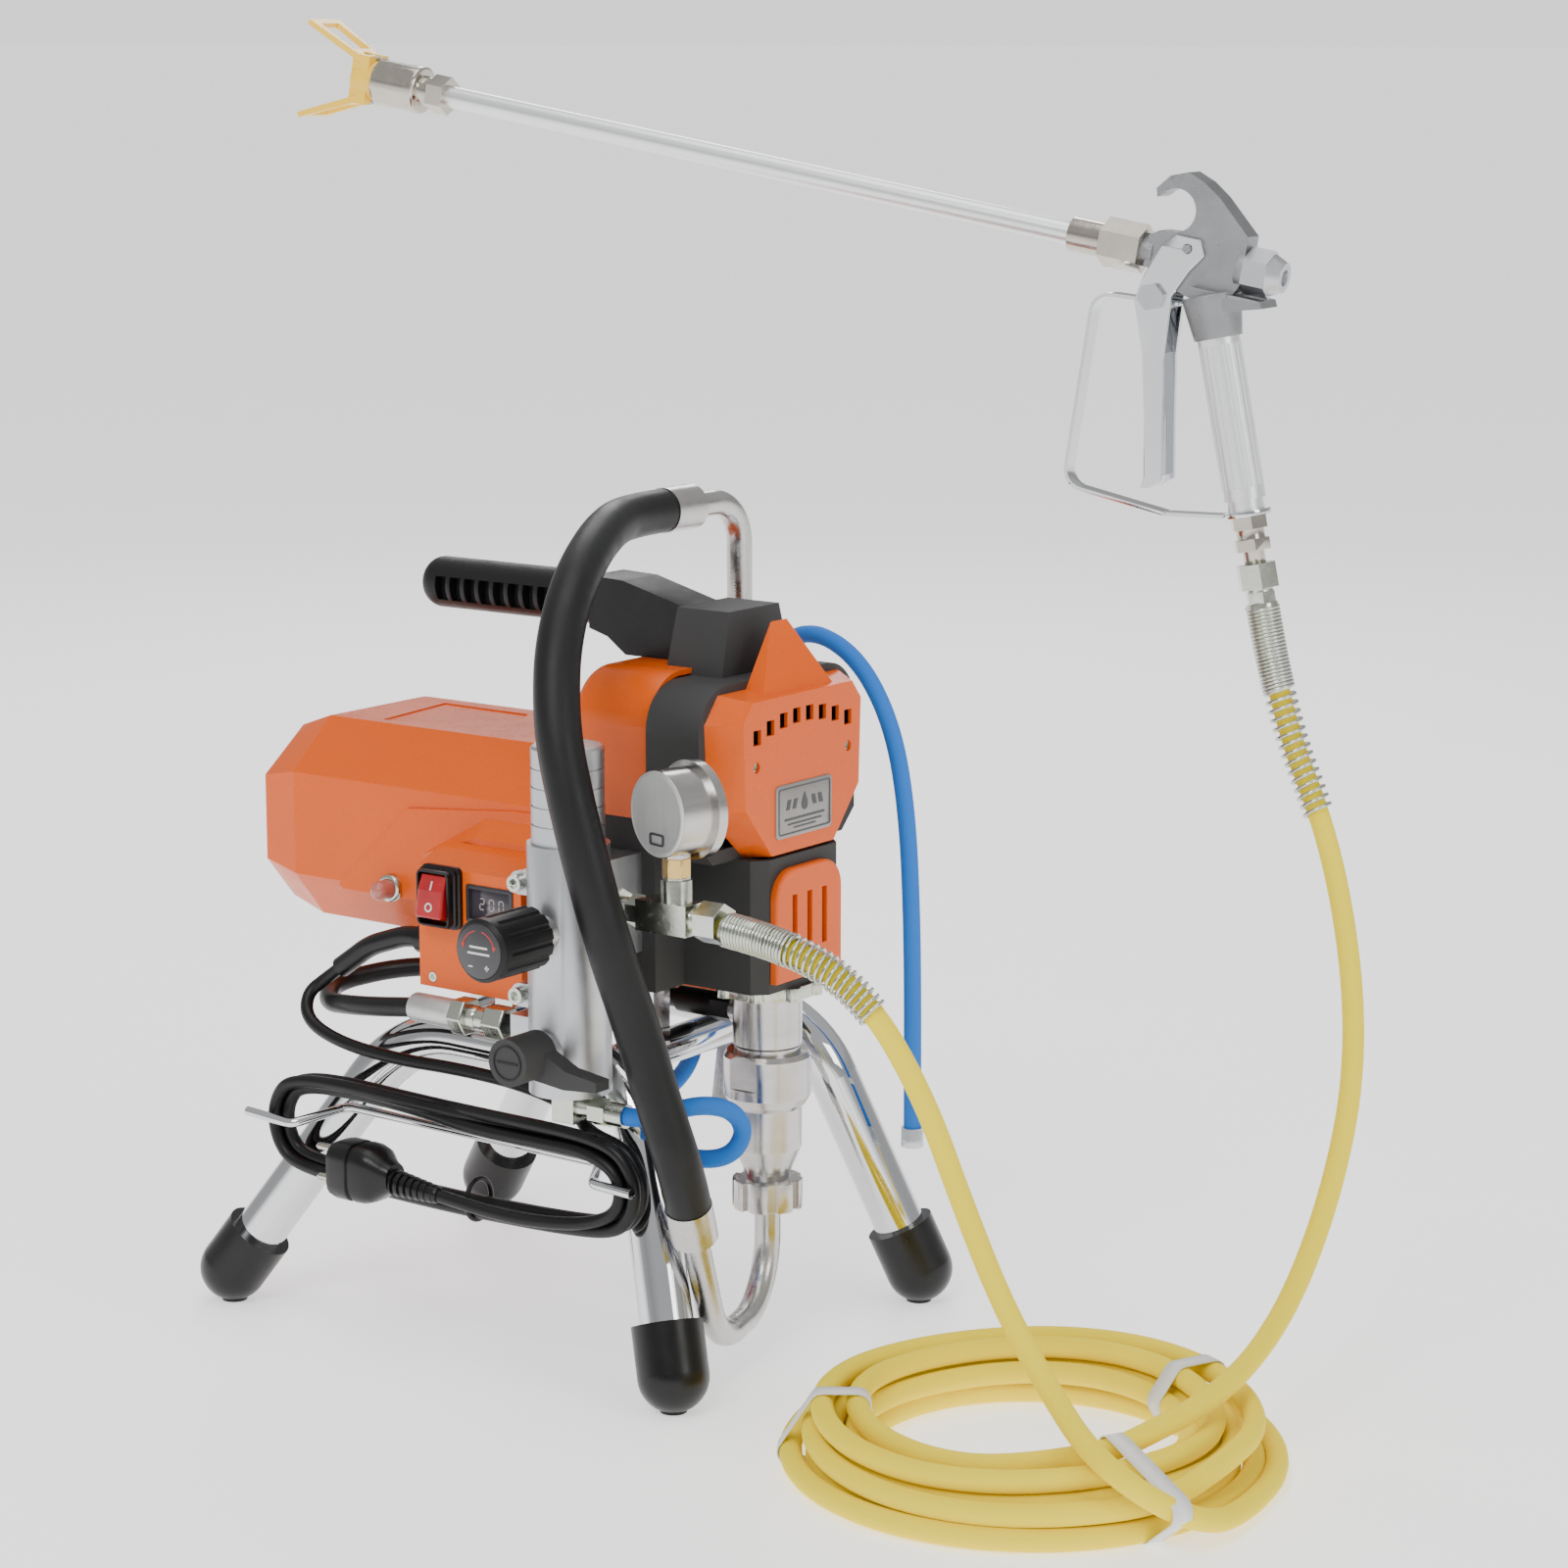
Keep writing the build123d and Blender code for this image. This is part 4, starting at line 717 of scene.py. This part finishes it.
def hank_turns():
    """Three turns of cord round a race-track, hung on the hooks and sagging a little between them."""
    half_y, half_z, middle = 113.0, 29.0, (-13.0, 129.5)
    loops = [(-129.0, 0.0), (-137.2, 0.5), (-132.0, -4.5)]
    points = []
    for x, inset in loops:
        reach, tall = half_y + inset * 0.4, half_z + inset
        ring = [(-reach * 0.35, tall), (-reach * 0.9, tall)]
        ring += [(-reach - tall * math.sin(a), tall * math.cos(a)) for a in (0.6, 1.2, 1.57, 2.0, 2.6)]
        ring += [(-reach * 0.8, -tall), (-reach * 0.25, -tall - 2), (reach * 0.3, -tall - 2), (reach * 0.85, -tall)]
        ring += [(reach + tall * math.sin(a), -tall * math.cos(a)) for a in (0.5, 1.0, 1.57, 2.1, 2.6)]
        ring += [(reach * 0.85, tall), (reach * 0.25, tall - 2)]
        points += [(x, middle[0] + y, middle[1] + z) for y, z in ring]
    return points[1:]


def plug_pieces():
    """Angled two-pin mains plug with a ribbed relief on its tail."""
    place = pose(at(-159, 0, 116), (1, 0, 0), (0, 1, 0))
    body = sections_piece("plug_body", [
        (17, 17, 7, 10), (20, 22, 8, 15), (27, 31, 9, 21), (29.6, 35, 10, 27), (29.6, 35.6, 10, 34),
        (27, 33, 9.5, 34.8), (27, 33, 9.5, 37.2), (29.6, 35.6, 10, 38), (29.6, 35.6, 10, 49), (27.5, 33, 9, 53.4),
        (24, 29, 8, 54.4)], place, rubber(), "machine", capped=True)
    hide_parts("power_plug")
    start, end = at(-159, 17, 114), at(-155, -21, 110)
    run = (end - start).length * 1000
    profile = [(0, 0), (8.4, 0)]
    for k in range(7):
        low, rib, groove = run * (0.14 + 0.12 * k), 8.2 - 0.4 * k, 6.4 - 0.2 * k
        profile += [(rib, low), (rib, low + 2.4), (groove, low + 2.8), (groove, low + 4.2)]
    profile += [(4.6, run), (0, run)]
    relief = lathe("plug_relief", profile, start, end - start, rubber(), "machine", segments=28)
    pins = [lathe(f"plug_pin_{k}", [(2.9, 0), (2.9, 5), (2.3, 5.6), (2.3, 16.5), (1.5, 18.2), (0, 18.7)],
                  at(-159, 54, z), (0, 1, 0), nickel(), "machine", segments=20)
            for k, z in enumerate((107, 126))]
    return [body, relief] + pins


def power_cord():
    """Out of the control box, three turns round the hooks and a tail that ends in the plug."""
    lead = [(-106.3, 99.4, 222.7), (-106.8, 111, 214.4), (-115, 120, 205), (-124, 112, 191), (-127, 82, 182),
            (-125, 38, 178), (-120, -10, 178), (-114, -55, 174), (-114, -92, 166)]
    tail = [(-138, -30, 149), (-139, -90, 150), (-139, -124, 150), (-139, -146, 140), (-139, -146, 118),
            (-140, -124, 107), (-146, -92, 104), (-152, -58, 105), (-155, -19, 110)]
    cord = curve_piece("power_cord_line", [at(*p) for p in lead + hank_turns() + tail], CORD_R, cord_rubber(),
                       "machine")
    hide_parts("power_cord", "cord_hank")
    total = length_of(centreline(cord))
    tie = curve_piece("cord_tie", [at(-134 + 12 * math.cos(a), -34, 105 + 13 * math.sin(a))
                                   for a in (2 * math.pi * k / 10 for k in range(10))], mm(1.6), cord_rubber(),
                      "machine", cyclic=True)
    plug_pieces() + [tie, NODES["strain_relief"]]


# ---------------------------------------------------------------- small pieces

def sections_piece(name, sections, place, finish, body, capped=False):
    """Piece lofted through round-cornered rectangles, as (width, height, corner, level) in millimetres.

    Capped, it is closed at both ends. Otherwise its last section joins its first, as a frame's does.
    """
    bm = bmesh.new()
    loops = []
    for width, height, corner, level in sections:
        outline = rounded(mm(width), mm(height), mm(corner), 4)
        loops.append([bm.verts.new(place @ Vector((x, y, mm(level)))) for x, y in outline])
    for first, second in zip(loops, loops[1:] if capped else loops[1:] + loops[:1]):
        wall(bm, first, second)
    if capped:
        bm.faces.new(loops[0])
        bm.faces.new(loops[-1])
    return link(name, mesh_of(name, bm), finish, body)


def marks(name, polygons, thick, place, finish, body, slot):
    """Several flat raised shapes in one mesh, outlines in mm in the place's own plane."""
    bm = bmesh.new()
    for outline in polygons:
        low = [bm.verts.new(place @ Vector((mm(x), mm(y), 0))) for x, y in outline]
        high = [bm.verts.new(place @ Vector((mm(x), mm(y), mm(thick)))) for x, y in outline]
        bm.faces.new(low[::-1])
        bm.faces.new(high)
        wall(bm, low, high)
    return link(name, mesh_of(name, bm), finish, body, smooth=False)


def bar(x, y, width, height, slant=0.0):
    """Corners of a bar about its middle, its top moved sideways by the slant."""
    w, h = width / 2, height / 2
    return [(x - w - slant, y - h), (x + w - slant, y - h), (x + w + slant, y + h), (x - w + slant, y + h)]


def arc(inner, outer, start, stop, steps=10):
    """Strips of a flat ring between two angles in degrees."""
    strips = []
    for k in range(steps):
        a, b = (math.radians(start + (stop - start) * i / steps) for i in (k, k + 1))
        corners = ((inner, a), (outer, a), (outer, b), (inner, b))
        strips.append([(r * math.cos(t), r * math.sin(t)) for r, t in corners])
    return strips


def outward_from_controls(x, y, z):
    """Place on a face that looks towards the control side, with its own x to the right and y up."""
    return pose(at(x, y, z), (0, -1, 0), (-1, 0, 0))


BADGE_AT = (0, -176, 339)
ROCKER_FACE, ROCKER_PIVOT = (-120, 2, 283), (-122, 2, 283)
DISPLAY_AT = (-120, -34, 281.5)
KNOB_AT = (-208, -101, 280)
PRIME_AT = (-185, -101, 210)
GAUGE_AT = (-128, -180, 357)
ADAPTOR_AT = (-128, -180, 319)
LAMP_AT = (-82, 77.5, 271.7)
TOP_LABEL_Z = 364
PRESSURE_X, PRESSURE_Z = -127, 214
PRINT = 0.3


def badge():
    """Plate on the front cover with a border, a drop between slanted bars, and plain lines."""
    place = pose(at(*BADGE_AT), (1, 0, 0), (0, -1, 0))
    sections_piece("badge_plate", [(56, 32, 3, -0.4), (56, 32, 3, 0.7), (55, 31, 2.6, 1.0)], place, silver_label(),
                   "machine", capped=True)
    sections_piece("badge_border", [(52, 28, 2, 0.9), (52, 28, 2, 1.3), (50.4, 26.4, 1.4, 1.3),
                                    (50.4, 26.4, 1.4, 0.9)], place, dark_label(), "machine")
    drop = [(0, 9.5), (-2.2, 5.2), (-3.1, 2.2), (-2.4, -0.4), (0, -1.6), (2.4, -0.4), (3.1, 2.2), (2.2, 5.2)]
    waves = [bar(-16 + 6.4 * k, 3.6, 3.4, 6.4 - abs(k - 0.5), 0.9) for k in range(2)]
    waves += [bar(9.6 + 6.4 * k, 3.6, 3.4, 6.4 - abs(k - 0.5), -0.9) for k in range(2)]
    lines = [bar(0, -5.2, 40, 1.3), bar(0, -8.2, 34, 1.0), bar(0, -10.6, 22, 0.8)]
    marks("badge_marks", [drop] + waves + lines, 1.3, place, dark_label(), "machine", "black_plastic")


def rocker_details():
    """Rubber boot round the switch, and the off and on marks that tilt with it."""
    place = outward_from_controls(*ROCKER_FACE)
    sections_piece("rocker_boot", [
        (30, 38, 4, -0.2), (30, 38, 4, 2.6), (27.6, 35.6, 4, 3.4), (28.4, 36.4, 4, 5.8), (26, 34, 4, 6.6),
        (26.6, 35, 4, 8.8), (24.8, 33.6, 3.4, 10.4), (22, 31.4, 2, 10.4), (22, 31.4, 2, -0.2)],
        place, rubber(), "machine")
    cap = Matrix.Translation(at(*ROCKER_PIVOT)) @ Matrix.Rotation(math.radians(10), 4, "Y")
    lower = cap @ pose(Vector((mm(-11), 0, mm(-6.5))), (0, -1, 0), (-1, 0, 0))
    upper = cap @ pose(Vector((mm(-10.33), 0, mm(6.5))), (0, -1, 0), (-0.978, 0, 0.208))
    marks("rocker_off_mark", arc(1.9, 2.8, 0, 360, 16), 0.35, lower, white_plastic(), "rocker", "red_switch")
    marks("rocker_on_mark", [bar(0, 0, 1.0, 5.6)], 0.35, upper, white_plastic(), "rocker", "red_switch")


# Bars of one digit on the display.
SEGMENTS = {
    "a": (0, 3.3, 2.6, 0.8), "b": (1.7, 1.7, 0.8, 2.6), "c": (1.7, -1.7, 0.8, 2.6), "d": (0, -3.3, 2.6, 0.8),
    "e": (-1.7, -1.7, 0.8, 2.6), "f": (-1.7, 1.7, 0.8, 2.6), "g": (0, 0, 2.6, 0.8),
}
DIGITS = ("abged", "abcdef", "abcdef")
DIGIT_PITCH = 7.4


def display():
    """Dark window in a bezel, with three digits."""
    place = outward_from_controls(*DISPLAY_AT)
    sections_piece("display_window", [(31.6, 18.6, 0.6, -3.2), (31.6, 18.6, 0.6, -1.9), (31, 18, 0.4, -1.7)], place,
                   smoked_glass(), "machine", capped=True)
    sections_piece("display_bezel", [(36, 23, 2, -0.2), (36, 23, 2, 0.7), (35, 22, 1.6, 1.1), (31.4, 18.4, 0.8, 1.1),
                                     (31, 18, 0.6, -2.0)], place, dark_label(), "machine")
    digits = []
    for k, lit in enumerate(DIGITS):
        for name in lit:
            x, y, width, height = SEGMENTS[name]
            digits.append(bar(x + DIGIT_PITCH * (k - 1), y, width, height))
    marks("display_digits", digits, 0.2, place @ Matrix.Translation((0, 0, mm(-1.75))), silver_label(), "machine",
          "black_plastic")


def knob_details():
    """Round label on the pressure knob, with arrows and signs."""
    place = outward_from_controls(*KNOB_AT)
    raised = place @ Matrix.Translation((0, 0, mm(0.6)))
    lathe("knob_label", [(0, 0.7), (15.2, 0.7), (15.7, 0.4), (15.9, -0.2), (0, -0.2)], place.translation,
          (-1, 0, 0), dark_label(), "knob")
    arrows = arc(11.6, 12.2, 20, 78) + arc(11.6, 12.2, 102, 160)
    arrows += [[(12.9, 3.6), (10.2, 4.4), (11.0, 1.2)], [(-12.9, 3.6), (-11.0, 1.2), (-10.2, 4.4)]]
    marks("knob_arrows", arrows, PRINT, raised, red_mark(), "knob", "black_plastic")
    signs = [bar(-6, -9, 3, 0.8), bar(6, -9, 3, 0.8), bar(6, -9, 0.8, 3)]
    signs += [bar(0, 2.4, 13, 1.2), bar(0, -1.2, 16, 1.2)]
    marks("knob_signs", signs, PRINT, raised, white_plastic(), "knob", "black_plastic")


def prime_details():
    """Raised ring and line on the prime lever."""
    ring = arc(9.4, 10.4, 0, 360, 24) + [bar(0, 0, 15, 1.2)]
    marks("prime_line", ring, 0.5, outward_from_controls(*PRIME_AT), handle_plastic(), "prime", "black_plastic")


GAUGE_TURN = math.radians(-15)
GAUGE_AXIS = (math.cos(GAUGE_TURN), math.sin(GAUGE_TURN), 0)


def gauge_depth(depth):
    """Point on the gauge's axis, so far in millimetres towards its dial."""
    return at(*GAUGE_AT) + Vector(GAUGE_AXIS) * mm(depth)


def gauge_details():
    """Dial, ticks, glass, brushed back with its vent plug, and brass adaptor."""
    lathe("gauge_dial", [(0, 0), (23.3, 0), (23.3, 0.35), (22.9, 0.5), (3.4, 0.5), (3.2, 0.3), (0, 0.3)],
          gauge_depth(5.9), GAUGE_AXIS, dial_white(), "machine")
    place = pose(gauge_depth(6.4), (-GAUGE_AXIS[1], GAUGE_AXIS[0], 0), GAUGE_AXIS)
    ticks = []
    for k in range(28):
        a = math.radians(-45 + 10 * k)
        inner = 17.5 if k % 3 == 0 else 19.5
        side = 0.45 if k % 3 == 0 else 0.25
        cos, sin = math.cos(a), math.sin(a)
        ticks.append([(r * cos - w * sin, r * sin + w * cos)
                      for r, w in ((inner, -side), (21.5, -side), (21.5, side), (inner, side))])
    marks("gauge_ticks", ticks, 0.25, place, dark_label(), "machine", "black_plastic")
    lathe("gauge_glass", [(0, 0.9), (15, 0.8), (23.2, 0.5), (23.2, -0.5), (0, -0.3)], gauge_depth(12.6), GAUGE_AXIS,
          clear_glass(), "machine")
    back = Vector(GAUGE_AXIS) * -1
    lathe("gauge_back", [(24.9, -1), (24.6, 0.6), (23.4, 1.2), (21.8, 0.9), (20, 0.5), (0, 0.5), (0, -1)],
          gauge_depth(-13), back, brushed_steel(), "machine", segments=64)
    pad = pose(gauge_depth(-13.4) + Vector((0, 0, mm(-14.5))), (0, -1, 0), back)
    sections_piece("gauge_plug_frame", [(13, 7, 1.6, 0), (13, 7, 1.6, 1.0), (10.6, 4.8, 1.0, 1.0),
                                        (10.6, 4.8, 1.0, 0)], pad, dark_label(), "machine")
    plate("gauge_adaptor", hexagon(8.4), mm(12), pose(at(*ADAPTOR_AT), (1, 0, 0), (0, 0, 1)), brass(), "machine",
          edge=mm(0.8))


def pressure_ferrule():
    """Crimped sleeve, collar and hexagons of the pump's hose, at the manifold."""
    def on_hose(y):
        return at(PRESSURE_X, y, PRESSURE_Z)

    lathe("pressure_ferrule", [(6, 0), (8.4, 0), (8.9, 1), (8.9, 31), (8.3, 33), (6, 33)], on_hose(20), (0, -1, 0),
          brushed_steel(), "machine", segments=32)
    for name, y, width, length in (("pressure_nut", -13.8, 19.4, 10.6), ("pressure_adaptor", -39.6, 17.4, 14.8)):
        outline = hexagon(width / math.sqrt(3) + 0.9)
        plate(name, outline, mm(length), pose(on_hose(y), (1, 0, 0), (0, -1, 0)), zinc(), "machine",
              edge=mm(0.9))
    lathe("pressure_neck", [(5, 0), (7.4, 0), (7.4, 5), (6.8, 6), (7.4, 7), (7.4, 15), (5, 15)],
          on_hose(-24.5), (0, -1, 0), zinc(), "machine", segments=32)


def motor_cover_details():
    """Rows of dashes on top of the cover, and the collar of the reset lamp."""
    top = pose(at(0, 0, TOP_LABEL_Z), (1, 0, 0), (0, 0, 1))
    rows = []
    for r in range(9):
        for k in range(15):
            x, y = -24 + 3.7 * k + 0.2 * r, 72 + 6.1 * r
            if x < 31.5 and y < 123 + 0.12 * x and (k * 7 + r * 5) % 9:
                rows.append(bar(x, y, 2.6, 1.1))
    marks("top_label_rows", rows, 0.35, top, silver_label(), "machine", "orange")
    lathe("lamp_collar", [(6.4, 0), (8.6, 0), (8.6, 2.2), (8.1, 2.8), (8.4, 3.4), (7.4, 4.2), (6.4, 4.2), (6.4, 0)],
          at(*LAMP_AT), (-1, 0, 0), zinc(), "machine", segments=28)


camera()
studio()
paint_hose()
suction_hose()
drain_tube()
power_cord()
finish_nodes()
badge()
rocker_details()
display()
knob_details()
prime_details()
gauge_details()
pressure_ferrule()
motor_cover_details()
